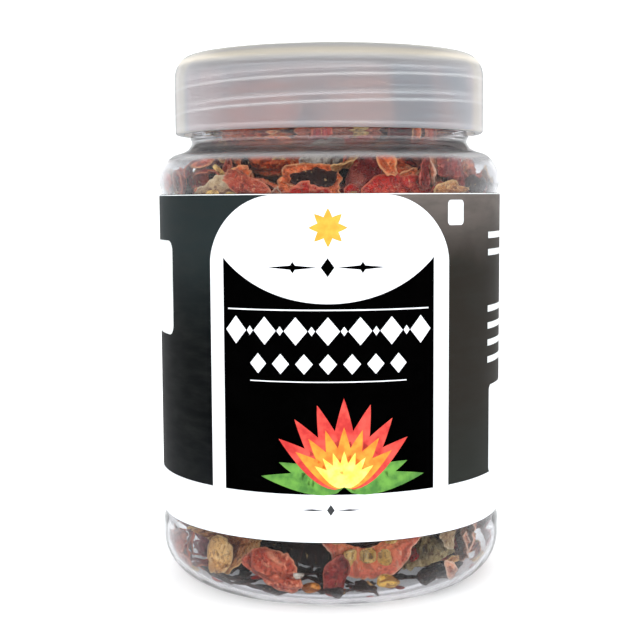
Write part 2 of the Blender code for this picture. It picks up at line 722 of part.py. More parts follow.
def medium_skins(rng, count):
    """Skins of a middle size: (kind, shape, share of trials against the wall)."""
    rows = []
    for _ in range(count):
        length = rng.uniform(20, 28) * MM
        skin = torn_skin(rng, length, rng.uniform(0.6, 0.8) * length, rng.uniform(6, 9) * MM)
        rows.append(("skin", skin, 0.75))
    return rows


def upper_pieces(rng):
    """Smaller pieces for the shoulder and the neck: (kind, shape, share of trials against the wall)."""
    rows = medium_skins(rng, 7)
    for _ in range(2):
        pith = small_flake(rng, rng.uniform(15, 19) * MM, 9.5 * MM, 6 * MM, "pith", 2, PITH_THICKNESS)
        rows.append(("pith", pith, 0.9))
    rows.append(("stem_end", stem_end(rng, 19 * MM), 0.7))
    return rows


def place_by_rule(fill, rng, rows, bottom, top, trials):
    """Each piece tries a number of turns and azimuths, and takes the one that leaves it lowest. One that
    finds no room is left out. Pieces are numbered within their kind as they are placed."""
    for i in rng.permutation(len(rows)):
        kind, shape, wall_share = rows[i]
        best = None
        for _ in range(trials):
            azimuth = rng.uniform(0, 2 * math.pi)
            if rng.uniform() < wall_share:
                radius = None
                turn = wall_turn(azimuth, rng.uniform(0, math.pi), rng.normal(0, 0.35), rng.uniform() < 0.55)
            else:
                radius = CENTRE_SPREAD * BODY_RADIUS * math.sqrt(rng.uniform())
                turn = random_turn(rng)
            move = fill.settle(shape, turn, azimuth, radius, bottom, top)
            if move is None:
                continue
            score = (shape.points @ turn.T)[:, 2].max() + 2 * move[2]
            if best is None or score < best[0]:
                best = (score, turn, move)
        if best is not None:
            fill.counts[kind] = fill.counts.get(kind, 0) + 1
            fill.add(f"{kind}_{fill.counts[kind]:02d}", shape, best[1], best[2])


def piece_object(name, shape, turn, move):
    """The piece as an object at its place, with its seeds united into it."""
    mesh = bpy.data.meshes.new(name)
    mesh.from_pydata([tuple(p) for p in shape.points], [], shape.faces)
    smooth(mesh, 60.0)
    obj = add_object(name, mesh, shape.slot)
    obj.matrix_world = Matrix.Translation(move) @ Matrix(turn.tolist()).to_4x4()
    for i, (place, up) in enumerate(shape.seeds):
        points, faces = seed_solid(place, up)
        seed_mesh = bpy.data.meshes.new(f"{name}_seed_{i}")
        seed_mesh.from_pydata([tuple(p) for p in points], [], faces)
        seed = bpy.data.objects.new(f"{name}_seed_{i}", seed_mesh)
        bpy.context.scene.collection.objects.link(seed)
        seed.matrix_world = obj.matrix_world
        seed.hide_render = True
        seed.display_type = "WIRE"
        join(obj, seed)
    return obj


def make_fill():
    rng = np.random.default_rng(FILL_SEED)
    fill = Fill()
    place_foot_of_front(fill, rng)
    place_by_rule(fill, rng, lower_pieces(rng), BASE_THICKNESS, LOWER_FILL_TOP, LOWER_TRIALS)
    middle_skins = medium_skins(rng, 4)
    place_by_rule(fill, rng, middle_skins, MIDDLE_FILL_BOTTOM, LOWER_FILL_TOP, MIDDLE_TRIALS)
    place_top_of_front(fill, rng)
    place_by_rule(fill, rng, upper_pieces(rng), UPPER_FILL_BOTTOM, UPPER_FILL_TOP, UPPER_TRIALS)
    for row in fill.placed:
        piece_object(*row)


def main():
    clear_scene()
    make_jar()
    make_label()
    make_cap()
    make_liner()
    make_fill()


main()
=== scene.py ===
"""Looks of the jar of dried ghost pepper: clear jar, milky screw cap, wrap label and dried pieces.

Everything is in metres in the frame of the CAD: +Z up along the jar's axis, the label's front towards -Y.
Sizes that the part's source also has are repeated here under the same names.
"""

import json
import math

import bmesh
import bpy
import numpy as np
from mathutils import Matrix, Vector, noise
from mathutils.bvhtree import BVHTree
from mathutils.kdtree import KDTree

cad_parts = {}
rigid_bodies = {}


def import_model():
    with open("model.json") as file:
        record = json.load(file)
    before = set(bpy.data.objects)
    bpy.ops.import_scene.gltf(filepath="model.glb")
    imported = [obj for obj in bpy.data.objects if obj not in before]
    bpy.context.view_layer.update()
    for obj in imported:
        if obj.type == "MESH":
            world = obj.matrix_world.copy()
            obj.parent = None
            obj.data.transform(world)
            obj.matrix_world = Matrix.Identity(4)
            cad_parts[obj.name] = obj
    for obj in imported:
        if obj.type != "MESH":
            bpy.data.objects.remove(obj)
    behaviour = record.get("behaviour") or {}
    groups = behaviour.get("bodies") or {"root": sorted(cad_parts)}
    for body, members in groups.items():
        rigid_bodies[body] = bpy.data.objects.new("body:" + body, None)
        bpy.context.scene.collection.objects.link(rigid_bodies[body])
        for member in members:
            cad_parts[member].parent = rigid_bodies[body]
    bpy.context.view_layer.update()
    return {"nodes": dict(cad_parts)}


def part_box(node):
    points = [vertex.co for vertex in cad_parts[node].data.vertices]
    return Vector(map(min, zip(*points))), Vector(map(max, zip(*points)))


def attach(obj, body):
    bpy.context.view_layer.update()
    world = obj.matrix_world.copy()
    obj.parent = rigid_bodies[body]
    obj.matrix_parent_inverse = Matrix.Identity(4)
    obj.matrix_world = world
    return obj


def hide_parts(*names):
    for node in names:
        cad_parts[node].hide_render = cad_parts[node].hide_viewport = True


MM = 0.001
FRONT = -math.pi / 2
STEPS = 120

# Jar
BODY_RADIUS = 36.5 * MM
INNER_RADIUS = 35.5 * MM
FOOT_OUTER = 27.9 * MM
FOOT_INNER = 25.4 * MM
HEEL_HEIGHT = 9.0 * MM
PUSH_UP = 3.2 * MM
BASE_THICKNESS = 1.1 * MM
SHOULDER_START = 83.4 * MM
SHOULDER_TOP = 90.2 * MM
SHOULDER_CENTRE = 31.6 * MM
NECK_RADIUS = 29.4 * MM
NECK_START = 92.4 * MM
NECK_BORE = 27.6 * MM
BEAD_HEIGHT = 93.35 * MM
BEAD_DEPTH = 0.38 * MM
RIM_TOP = 107.0 * MM
RIM_EDGE = 0.3 * MM
RECESS_DEPTH = 0.6 * MM
RECESS_BOTTOM = (11.9 * MM, 14.5 * MM)
RECESS_TOP = (81.8 * MM, 84.4 * MM)

# Threads
PITCH = 5.0 * MM
THREAD_ROOT = 2.1 * MM
THREAD_CREST = 0.9 * MM
THREAD_FADE = PITCH * 30 / 360
NECK_THREAD = (1.3 * MM, 102.0 * MM, 96.9 * MM, 105.0 * MM)
CAP_THREAD = (-1.2 * MM, 99.95 * MM, 97.5 * MM, 106.5 * MM)

# Cap and liner
CAP_RADIUS = 32.8 * MM
CAP_BORE = 31.1 * MM
CAP_BOTTOM = 94.2 * MM
CAP_TOP = 110.4 * MM
CAP_UNDERSIDE = 108.7 * MM
CAP_CORNER = (3.3 * MM, 4.5 * MM)
LINER_RADIUS = 30.4 * MM
LINER_BOTTOM = 107.3 * MM
LINER_TOP = 108.4 * MM

# Painted highlights: the lines that the thread shows in the cap and its pale corner; and the jar's
# painted reflection band
LINE_BELOW = 0.8 * MM
SLIM_LINE = 0.26 * MM
SOFT_LINE = 0.5 * MM
GLINT_CORNER_HEIGHT = 108.8 * MM
GLEAM_HEIGHT = 89.6 * MM

# Label
LABEL_INNER = 36.15 * MM
LABEL_OUTER = 36.45 * MM
LABEL_BOTTOM = 14.6 * MM
LABEL_TOP = 81.7 * MM
LABEL_HALF_TURN = math.radians(177.0)
PRINT_STEP = 0.007 * MM
PRINT_DEPTH = 0.015 * MM

# Fill. Lengths are in metres and turns in degrees from the front, right of it if positive
SHEET_THICKNESS = {"skin": 0.9 * MM, "pith": 1.3 * MM}
FINE_THICKNESS = {"skin": 0.45 * MM, "pith": 0.9 * MM}
WALL_MARGIN = 0.13 * MM
RIM_GROWTH = 0.9 * MM
LID_GAP = 0.4 * MM
SEED_LIFT = 0.45 * MM
SEED_GAP = 2.9 * MM
LOW_WINDOW_TOP = 13 * MM
HIGH_WINDOW_BOTTOM = 83 * MM
DEEPEST_SEEN = 21 * MM
FLOOR_PIECES_TOP = 4.4 * MM


def srgb(red, green, blue):
    """A colour from its screen values, 0 to 255, as linear light."""

    def linear(value):
        share = value / 255
        return share / 12.92 if share <= 0.04045 else ((share + 0.055) / 1.055) ** 2.4

    return (linear(red), linear(green), linear(blue), 1.0)


def smooth_step(share):
    share = np.clip(share, 0.0, 1.0)
    return share * share * (3 - 2 * share)


# Materials


class Look:
    """The nodes of a material, or of a world. Places are object coordinates in millimetres."""

    def __init__(self, name, world=None):
        self.owner = world or bpy.data.materials.new(name)
        self.owner.use_nodes = True
        self.tree = self.owner.node_tree
        self.tree.nodes.clear()
        if world is None:
            inputs = {0: self.add("ShaderNodeTexCoord").outputs["Object"], 3: 1 / MM}
            self.place = self.add("ShaderNodeVectorMath", inputs, operation="SCALE").outputs[0]

    def add(self, kind, inputs=None, **settings):
        node = self.tree.nodes.new(kind)
        for key, value in settings.items():
            setattr(node, key, value)
        for key, value in (inputs or {}).items():
            if isinstance(value, bpy.types.NodeSocket):
                self.tree.links.new(value, node.inputs[key])
            else:
                node.inputs[key].default_value = value
        return node

    def noise(self, size, detail=2.0, rough=0.5, place=None, twist=0.0):
        """Noise of 0 to 1, with features of about the size in millimetres."""
        inputs = {
            "Vector": place or self.place, "Scale": 1.0 / size, "Detail": detail, "Roughness": rough,
            "Distortion": twist,
        }
        return self.add("ShaderNodeTexNoise", inputs).outputs["Fac"]

    def math(self, operation, a, b=0.0):
        return self.add("ShaderNodeMath", {0: a, 1: b}, operation=operation).outputs[0]

    def ramp(self, value, low, high, most=1.0):
        """0 below low, most above high, smooth between. Low may be the larger."""
        inputs = {"Value": value, "From Min": low, "From Max": high, "To Max": most}
        return self.add("ShaderNodeMapRange", inputs, interpolation_type="SMOOTHSTEP").outputs[0]

    def spread(self, value, low, high):
        """A value of 0 to 1 as one from low to high."""
        inputs = {"Value": value, "To Min": low, "To Max": high}
        return self.add("ShaderNodeMapRange", inputs).outputs[0]

    def part(self, vector, index):
        return self.add("ShaderNodeSeparateXYZ", {0: vector}).outputs[index]

    def from_mesh(self, name, output="Fac"):
        """A value or colour that the mesh keeps for each point."""
        return self.add("ShaderNodeAttribute", attribute_name=name).outputs[output]

    def stretched(self, scale):
        """Places with each axis scaled, for marks that are longer one way."""
        mapping = self.add("ShaderNodeMapping", {0: self.place})
        mapping.inputs["Scale"].default_value = scale
        return mapping.outputs[0]

    def mix(self, share, a, b, blend="MIX"):
        node = self.add("ShaderNodeMix", {0: share, 6: a, 7: b}, data_type="RGBA", blend_type=blend)
        return node.outputs[2]

    def over(self, tone, colour, value, low, high, most=1.0):
        """The tone with a colour laid over it, as far as the value has come from low to high."""
        return self.mix(self.ramp(value, low, high, most), tone, colour)

    def bump(self, height, distance, strength=1.0, normal=None):
        inputs = {"Height": height, "Distance": distance, "Strength": strength}
        if normal is not None:
            inputs["Normal"] = normal
        return self.add("ShaderNodeBump", inputs).outputs[0]

    def plastic(self, inputs):
        return self.add("ShaderNodeBsdfPrincipled", inputs).outputs[0]

    def finish(self, surface):
        output = self.add("ShaderNodeOutputMaterial", {"Surface": surface})
        output.is_active_output = True
        return self.owner

    def see_through(self, surface, lamp_share):
        """Lets lamps through a clear surface, so that what is behind it stays lit."""
        lamp_colour = (lamp_share, lamp_share, lamp_share, 1.0)
        lamp = self.add("ShaderNodeBsdfTransparent", {"Color": lamp_colour})
        ray = self.add("ShaderNodeLightPath")
        inputs = {0: ray.outputs["Is Shadow Ray"], 1: surface, 2: lamp.outputs[0]}
        return self.finish(self.add("ShaderNodeMixShader", inputs).outputs[0])


def clear_look():
    """Clear plastic, with painted shade where the wall is seen edge-on and towards the foot, and a
    painted reflection where the mesh says so.
    """
    look = Look("clear")
    haze = look.from_mesh("haze")
    # Painted shade: grey where the wall is seen edge-on, for a dark outline
    edge_on = look.add("ShaderNodeLayerWeight", {"Blend": 0.5}).outputs["Facing"]
    colour = look.over(srgb(250, 251, 252), srgb(158, 158, 164), edge_on, 0.35, 0.85)
    # Painted shade: greyer towards the foot
    colour = look.over(colour, srgb(228, 228, 232), look.part(look.place, 2), 6.0, 1.0)
    # Painted reflection: white and partly mirror-like in the band that the mesh gives
    colour = look.mix(haze, colour, srgb(255, 255, 255))
    smudge = look.math("MULTIPLY", look.ramp(look.noise(5.0, 3.0), 0.35, 0.75), 0.05)
    inputs = {
        "Base Color": colour, "Metallic": look.math("MULTIPLY", haze, 0.6),
        "Roughness": look.math("ADD", smudge, look.math("MULTIPLY", haze, 0.28)), "IOR": 1.49,
        "Transmission Weight": 1.0, "Specular Tint": (0.25, 0.25, 0.25, 1.0), "Sheen Weight": 0.06,
        "Sheen Roughness": 0.35, "Sheen Tint": srgb(226, 228, 234),
        "Normal": look.bump(look.noise(9.0, 1.0), 0.00012),
    }
    return look.see_through(look.plastic(inputs), 0.95)


def frosted_look():
    """Milky plastic with painted tones of what shows through it, painted light at its edge, and painted
    highlights where the mesh says so.
    """
    look = Look("frosted")
    cloud = look.noise(11.0, 2.0)
    # Painted: pinkish and blue-grey bands for the blurred contents seen through the cap
    patch = look.noise(9.0, 1.0, 0.5, look.stretched((1.0, 1.0, 0.3)))
    height = look.part(look.place, 2)
    colour = look.over(srgb(190, 198, 208), srgb(222, 208, 211), patch, 0.36, 0.64)
    # Paler towards the top of the skirt
    colour = look.over(colour, srgb(212, 212, 215), height, 104.5, 107.5)
    colour = look.mix(look.math("MULTIPLY", cloud, 0.5), colour, srgb(226, 226, 226))
    # Painted light at the edge: a cream glow where the wall is seen edge-on, and a dark outline at the
    # very edge
    grazing = look.add("ShaderNodeLayerWeight", {"Blend": 0.5}).outputs["Facing"]
    colour = look.over(colour, srgb(236, 231, 219), grazing, 0.6, 0.7)
    colour = look.over(colour, srgb(120, 122, 126), grazing, 0.84, 0.93)
    # Painted highlights: pale and partly mirror-like along the thread, the lower edge and the corner,
    # cream near the top
    ridge = look.from_mesh("ridge")
    glint_colour = look.over(srgb(255, 255, 255), srgb(255, 247, 231), height, 106.6, 107.6)
    colour = look.mix(ridge, colour, glint_colour)
    inputs = {
        "Base Color": colour, "Metallic": look.math("MULTIPLY", ridge, 0.45),
        "Roughness": look.spread(cloud, 0.29, 0.32), "IOR": 1.46, "Transmission Weight": 0.84,
        "Normal": look.bump(look.noise(12.0, 1.0), 0.0001),
    }
    return look.see_through(look.plastic(inputs), 0.66)


def foam_look():
    look = Look("foam")
    cells = look.add("ShaderNodeTexVoronoi", {"Vector": look.place, "Scale": 2.2}).outputs["Distance"]
    colour = look.mix(look.noise(4.0, 3.0), srgb(226, 224, 214), srgb(240, 238, 230))
    inputs = {"Base Color": colour, "Roughness": 0.75, "Normal": look.bump(cells, 0.00008)}
    return look.finish(look.plastic(inputs))


def print_look(name, colour, second, size=6.0, rough=0.38, gloss=0.3):
    """Ink on film: a soft mix of two colours, in patches of about the size in millimetres."""
    look = Look(name)
    inputs = {
        "Base Color": look.over(srgb(*colour), srgb(*second), look.noise(size, 3.0), 0.3, 0.7),
        "Roughness": look.spread(look.noise(3.0), rough - 0.05, rough + 0.05),
        "Specular IOR Level": gloss, "Normal": look.bump(look.noise(0.5), 0.00001),
    }
    return look.finish(look.plastic(inputs))


def film_look():
    """The label's sides: dark, with soft tones that change with height and with the way round."""
    look = Look("label_film")
    right_of_middle = look.part(look.place, 0)
    wave = look.math("MULTIPLY", look.noise(14.0, 3.0), 9.0)
    wavy = look.math("ADD", look.part(look.place, 2), wave)
    left = look.over(srgb(3, 5, 6), srgb(33, 40, 41), wavy, 55.0, 78.0)
    left = look.over(left, srgb(17, 19, 21), wavy, 42.0, 24.0)
    right = look.over(srgb(37, 34, 30), srgb(100, 93, 89), wavy, 70.0, 88.0)
    right = look.over(right, srgb(38, 40, 37), wavy, 48.0, 30.0)
    tone = look.over(left, right, right_of_middle, -12.0, 12.0)
    streaks = look.noise(5.0, 4.0, 0.6, look.stretched((0.6, 0.6, 2.4)))
    tone = look.over(tone, look.mix(0.3, tone, srgb(42, 44, 42)), streaks, 0.35, 0.75)
    return look.finish(look.plastic({"Base Color": tone, "Roughness": 0.5, "Specular IOR Level": 0.02}))


def dried_look(name, outer, second, inner, edge, rough, coat, depth):
    """Dried skin or pith. The mesh says which side a point is on, how far from the rim and how
    high. Depth is how dark the darker tone is: in mottles, veins and pits, and as painted shade in the
    hollows."""
    look = Look(name)
    sheet = look.add("ShaderNodeSeparateColor", {0: look.from_mesh("sheet", "Color")})
    side, inland, relief = sheet.outputs[:3]
    outer, second, inner, edge = (srgb(*colour) for colour in (outer, second, inner, edge))
    outside = look.over(outer, second, look.noise(4.5, 3.0, 0.6, None, 0.6), 0.38, 0.64)
    inside = look.over(second, inner, inland, 0.1, 0.75)
    tone = look.mix(side, inside, outside)
    deep = look.mix(depth, tone, (0.24, 0.1, 0.09, 1.0), "MULTIPLY")
    fine = look.noise(0.8, 3.0, 0.65)
    veins = look.noise(2.4, 4.0, 0.62, None, 2.5)
    pits = look.add("ShaderNodeTexVoronoi", {"Vector": look.place, "Scale": 0.62}).outputs["Distance"]
    tone = look.over(tone, deep, fine, 0.5, 0.36, 0.7)
    tone = look.over(tone, edge, veins, 0.55, 0.66, 0.6)
    tone = look.over(tone, deep, veins, 0.4, 0.3, 0.8)
    # Painted shade: darker in the low places of the relief
    tone = look.over(tone, deep, relief, 0.4, 0.18, 0.92)
    tone = look.over(tone, deep, pits, 0.3, 0.16, 0.75)
    # Painted highlight: paler on the high places of the relief
    tone = look.over(tone, edge, relief, 0.62, 0.9, 0.5)
    tone = look.over(tone, edge, inland, 0.09, 0.0, 0.6)
    tone = look.over(tone, srgb(238, 196, 140), look.noise(0.6, 2.0), 0.66, 0.74, 0.5)
    grain = look.bump(look.noise(0.7, 3.0, 0.6), 0.0003)
    inputs = {
        "Base Color": tone, "Roughness": look.spread(fine, rough - 0.1, rough + 0.15),
        "Normal": look.bump(look.noise(2.2, 4.0, 0.6, None, 1.5), 0.0012, 1.0, grain),
        "Coat Weight": coat, "Coat Roughness": 0.18, "Specular IOR Level": 0.12,
    }
    return look.finish(look.plastic(inputs))


# Colours of the dried pieces: outer side, second tone, inner side, torn edge; roughness and coat
DRIED_COLOURS = {
    "coral": ((244, 104, 84), (255, 136, 112), (255, 150, 104), (255, 208, 176), 0.42, 0.15),
    "tan_brown": ((150, 94, 54), (190, 130, 78), (176, 108, 70), (232, 192, 138), 0.5, 0.05),
    "grey_tan": ((158, 132, 100), (188, 160, 124), (178, 142, 116), (222, 202, 170), 0.62, 0.0),
    "brown_red": ((166, 62, 44), (200, 96, 68), (196, 104, 74), (236, 164, 128), 0.4, 0.15),
    "maroon": ((110, 26, 28), (142, 44, 42), (158, 68, 58), (196, 104, 88), 0.36, 0.2),
    "purple_red": ((132, 40, 56), (170, 74, 84), (180, 100, 96), (218, 160, 158), 0.45, 0.1),
    "orange_red": ((206, 76, 36), (228, 110, 62), (226, 134, 82), (244, 184, 132), 0.42, 0.15),
    "deep_red": ((158, 12, 12), (196, 34, 26), (200, 68, 44), (240, 140, 106), 0.3, 0.3),
    "dark_red": ((122, 26, 18), (160, 50, 34), (176, 80, 52), (220, 130, 98), 0.4, 0.15),
    "pinkish_tan": ((206, 120, 88), (226, 156, 124), (226, 170, 140), (244, 212, 188), 0.5, 0.05),
    "black_red": ((22, 9, 9), (36, 16, 14), (44, 22, 18), (74, 40, 34), 0.45, 0.0),
    "pale_pith": ((178, 168, 156), (206, 198, 188), (196, 184, 172), (230, 224, 216), 0.7, 0.0),
    "tan_pith": ((196, 140, 80), (226, 180, 116), (220, 170, 108), (242, 212, 164), 0.62, 0.0),
    "orange_pith": ((220, 124, 42), (242, 162, 68), (238, 156, 72), (250, 200, 130), 0.5, 0.05),
    "yellow_pith": ((230, 174, 76), (244, 202, 108), (242, 196, 108), (250, 226, 166), 0.55, 0.05),
    "stem": ((142, 122, 80), (172, 152, 108), (160, 138, 94), (208, 190, 150), 0.66, 0.0),
    "seed": ((236, 186, 100), (246, 212, 140), (240, 198, 120), (252, 234, 188), 0.45, 0.1),
}

# Colours of the pieces that the windows show. The others get one of the rest at random
PIECE_COLOURS = {
    "half_pod_front": "coral", "skin_front_left": "tan_brown", "skin_front_right": "grey_tan",
    "skin_front_folded": "brown_red", "flake_maroon": "maroon", "skin_side_left": "purple_red",
    "skin_side_right": "pinkish_tan", "skin_top_right": "orange_red", "skin_top_left": "orange_red",
    "skin_top_far_left": "dark_red", "flake_deep_red": "deep_red", "flake_dark": "maroon",
    "skin_neck_left": "orange_red", "skin_neck_middle": "brown_red", "skin_neck_right": "maroon",
    "pith_top_left": "grey_tan", "pith_top_middle": "pale_pith", "pith_front_left": "tan_pith",
    "pith_01": "pale_pith", "pith_02": "tan_pith", "crumb_orange": "orange_pith",
    "crumb_yellow": "yellow_pith", "stem_end_front": "stem", "stem_end_01": "stem", "stem_end_02": "stem",
}
OTHER_COLOURS = ("dark_red", "brown_red", "maroon", "orange_red", "deep_red", "brown_red", "tan_brown")

# Nodes that aren't dried pieces, and the slots of the dried ones that aren't skin
SHELLS = ("jar", "label", "cap", "cap_liner")
SLOTS = {"stem": "stem", "crumb": "pith", "pith": "pith"}

# Pieces right behind a clear window at the front, which get the finest mesh
FINEST = (
    "half_pod_front", "skin_front_left", "skin_front_right", "skin_front_folded", "flake_deep_red",
    "pith_top_left", "pith_top_middle",
)


# Meshes


def mesh_from(name, points, faces):
    mesh = bpy.data.meshes.new(name)
    mesh.from_pydata(np.asarray(points).tolist(), [], [list(map(int, face)) for face in faces])
    mesh.shade_smooth()
    return mesh


def link_mesh(mesh, material):
    """Puts a mesh in the scene as an object of the same name."""
    mesh.materials.append(material)
    thing = bpy.data.objects.new(mesh.name, mesh)
    bpy.context.scene.collection.objects.link(thing)
    return thing


def add_piece(mesh, material, body="jar_body", sharp=None):
    """Adds a mesh as a piece that rides on its body. Edges over so many degrees are sharp."""
    if sharp is not None:
        mesh.set_sharp_from_angle(angle=math.radians(sharp))
    piece = link_mesh(mesh, material)
    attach(piece, body)
    return piece


def rings(radii, heights, turns):
    """A turned profile's points as rows, turns and coordinates. Radii may change with the turn."""
    across = radii * np.cos(turns)
    return np.stack([across, radii * np.sin(turns), np.broadcast_to(heights, across.shape)], axis=2)


def ring_quads(rows, count, base=0):
    """The quads between closed rings of so many points, numbered from base."""
    around = np.arange(count)
    after = (around + 1) % count
    low = base + np.arange(rows - 1)[:, None] * count
    high = low + count
    quads = np.stack([low + around, low + after, high + after, high + around], axis=2)
    return quads.reshape(-1, 4).tolist()


def bell(values, middle, reach):
    """1 at the middle, falling off smoothly over the reach."""
    return np.exp(-(((values - middle) / reach) ** 2))


def line(start, end, count):
    """Points of a straight stretch of a profile, without its end."""
    return [tuple(p) for p in np.linspace(start, end, count, endpoint=False)]


def ellipse(centre, radial, axial, start, end, count):
    """Points along an ellipse's arc, angles in degrees, without its end."""
    turns = np.radians(np.linspace(start, end, count, endpoint=False))
    return [(centre[0] + radial * math.cos(t), centre[1] + axial * math.sin(t)) for t in turns]


def bend(start, corner, end, count):
    """Points of a smooth bend towards a corner, without its end."""
    shares = np.linspace(0, 1, count, endpoint=False)[:, None]
    start, corner, end = map(np.array, (start, corner, end))
    points = (1 - shares) ** 2 * start + 2 * shares * (1 - shares) * corner + shares**2 * end
    return [tuple(p) for p in points]


def dome_height(radius):
    """Height of the push-up's outer face over the contact ring."""
    return PUSH_UP * (1 - (radius / FOOT_INNER) ** 2.3)


def recess(radius, height):
    """How far the label's recess lies under the body's radius at a height."""
    if radius < NECK_RADIUS:
        return 0.0
    into = smooth_step((height - RECESS_BOTTOM[0]) / (RECESS_BOTTOM[1] - RECESS_BOTTOM[0]))
    back = smooth_step((RECESS_TOP[1] - height) / (RECESS_TOP[1] - RECESS_TOP[0]))
    return RECESS_DEPTH * float(into * back)


def jar_inner_profile():
    """The inside of the jar, from the rim down to the centre of the floor."""
    shoulder = (SHOULDER_CENTRE, SHOULDER_START)
    radial = INNER_RADIUS - SHOULDER_CENTRE
    axial = SHOULDER_TOP - SHOULDER_START - 0.9 * MM
    top = ellipse(shoulder, radial, axial, 80, 0, 1)[0]
    heel = (FOOT_OUTER, HEEL_HEIGHT)
    floor_edge = 23.8 * MM
    floor = [(r, BASE_THICKNESS + dome_height(r)) for r in np.linspace(floor_edge, 0, 14)]
    body = [
        *line((NECK_BORE, RIM_TOP - RIM_EDGE), (NECK_BORE, NECK_START), 8),
        *bend((NECK_BORE, NECK_START), (NECK_BORE + 0.4 * MM, top[1] + 0.7 * MM), top, 10),
        *ellipse(shoulder, radial, axial, 80, 0, 18),
        *line((INNER_RADIUS, SHOULDER_START), (INNER_RADIUS, 81.5 * MM), 6),
        *line((INNER_RADIUS, 81.5 * MM), (INNER_RADIUS, 15 * MM), 8),
        *line((INNER_RADIUS, 15 * MM), (INNER_RADIUS, HEEL_HEIGHT), 14),
        *ellipse(heel, INNER_RADIUS - FOOT_OUTER, HEEL_HEIGHT - BASE_THICKNESS, 0, -90, 20),
        *bend((FOOT_OUTER, BASE_THICKNESS), (24.9 * MM, BASE_THICKNESS), floor[0], 5),
        *floor,
    ]
    return [(radius - 0.83 * recess(radius, height), height) for radius, height in body]


def jar_outer_profile():
    """The outside of the jar, from the centre of the push-up to the rim."""
    gate = [(0.0, PUSH_UP - 0.35 * MM), (0.9 * MM, PUSH_UP - 0.35 * MM), (1.2 * MM, PUSH_UP - 0.15 * MM)]
    dome_edge = 24.4 * MM
    dome = [(r, dome_height(r)) for r in np.linspace(1.6 * MM, dome_edge, 16, endpoint=False)]
    foot = bend((dome_edge, dome_height(dome_edge)), (FOOT_INNER, 0), (26.3 * MM, 0), 6)
    shoulder = (SHOULDER_CENTRE, SHOULDER_START)
    radial = BODY_RADIUS - SHOULDER_CENTRE
    axial = SHOULDER_TOP - SHOULDER_START
    top = ellipse(shoulder, radial, axial, 80, 0, 1)[0]
    body = [
        *gate,
        *dome,
        *foot,
        *line((26.3 * MM, 0), (FOOT_OUTER, 0), 2),
        *ellipse((FOOT_OUTER, HEEL_HEIGHT), BODY_RADIUS - FOOT_OUTER, HEEL_HEIGHT, -90, 0, 26),
        *line((BODY_RADIUS, HEEL_HEIGHT), (BODY_RADIUS, 15 * MM), 14),
        *line((BODY_RADIUS, 15 * MM), (BODY_RADIUS, 81.5 * MM), 6),
        *line((BODY_RADIUS, 81.5 * MM), (BODY_RADIUS, SHOULDER_START), 6),
        *ellipse(shoulder, radial, axial, 0, 80, 22),
        *bend(top, (NECK_RADIUS + 0.45 * MM, 90.75 * MM), (NECK_RADIUS, NECK_START), 12),
        *line((NECK_RADIUS, NECK_START), (NECK_RADIUS, RIM_TOP - RIM_EDGE), 48),
        *ellipse((NECK_RADIUS - RIM_EDGE, RIM_TOP - RIM_EDGE), RIM_EDGE, RIM_EDGE, 0, 90, 4),
        *line((NECK_RADIUS - RIM_EDGE, RIM_TOP), (NECK_BORE + RIM_EDGE, RIM_TOP), 3),
        *ellipse((NECK_BORE + RIM_EDGE, RIM_TOP - RIM_EDGE), RIM_EDGE, RIM_EDGE, 90, 180, 4),
    ]
    return [(radius - recess(radius, height), height) for radius, height in body]


def cap_profile():
    """The cap, from the centre of its top round the skirt to the centre of its underside."""
    radial, axial = CAP_CORNER
    edge = 0.55 * MM
    small = 0.25 * MM
    round_in = 0.5 * MM
    gate_edge = (2.6 * MM, CAP_TOP - 0.45 * MM)
    dish_edge = (24.6 * MM, CAP_TOP - 0.4 * MM)
    step = (25.6 * MM, CAP_TOP - 0.12 * MM)
    rim = (26.8 * MM, CAP_TOP)
    return [
        (0.0, CAP_TOP - 0.5 * MM),
        (1.0 * MM, CAP_TOP - 0.5 * MM),
        *bend((1.3 * MM, CAP_TOP - 0.55 * MM), (1.8 * MM, CAP_TOP - 0.45 * MM), gate_edge, 4),
        *line(gate_edge, dish_edge, 10),
        *bend(dish_edge, (25.2 * MM, CAP_TOP - 0.4 * MM), step, 4),
        *bend(step, (26.0 * MM, CAP_TOP), rim, 4),
        *line(rim, (CAP_RADIUS - radial, CAP_TOP), 3),
        *ellipse((CAP_RADIUS - radial, CAP_TOP - axial), radial, axial, 90, 0, 18),
        *line((CAP_RADIUS, CAP_TOP - axial), (CAP_RADIUS, CAP_BOTTOM + edge), 44),
        *ellipse((CAP_RADIUS - edge, CAP_BOTTOM + edge), edge, edge, 0, -90, 6),
        *line((CAP_RADIUS - edge, CAP_BOTTOM), (CAP_BORE + small, CAP_BOTTOM), 2),
        *ellipse((CAP_BORE + small, CAP_BOTTOM + small), small, small, -90, -180, 4),
        *line((CAP_BORE, CAP_BOTTOM + small), (CAP_BORE, CAP_UNDERSIDE - round_in), 52),
        *ellipse((CAP_BORE - round_in, CAP_UNDERSIDE - round_in), round_in, round_in, 0, 90, 5),
        *line((CAP_BORE - round_in, CAP_UNDERSIDE), (0.0, CAP_UNDERSIDE), 10),
        (0.0, CAP_UNDERSIDE),
    ]


def liner_profile():
    edge = 0.3 * MM
    return [
        (0.0, LINER_TOP),
        *line((4 * MM, LINER_TOP), (LINER_RADIUS - edge, LINER_TOP), 6),
        *ellipse((LINER_RADIUS - edge, LINER_TOP - edge), edge, edge, 90, 0, 4),
        *ellipse((LINER_RADIUS - edge, LINER_BOTTOM + edge), edge, edge, 0, -90, 4),
        *line((LINER_RADIUS - edge, LINER_BOTTOM), (4 * MM, LINER_BOTTOM), 6),
        (0.0, LINER_BOTTOM),
    ]


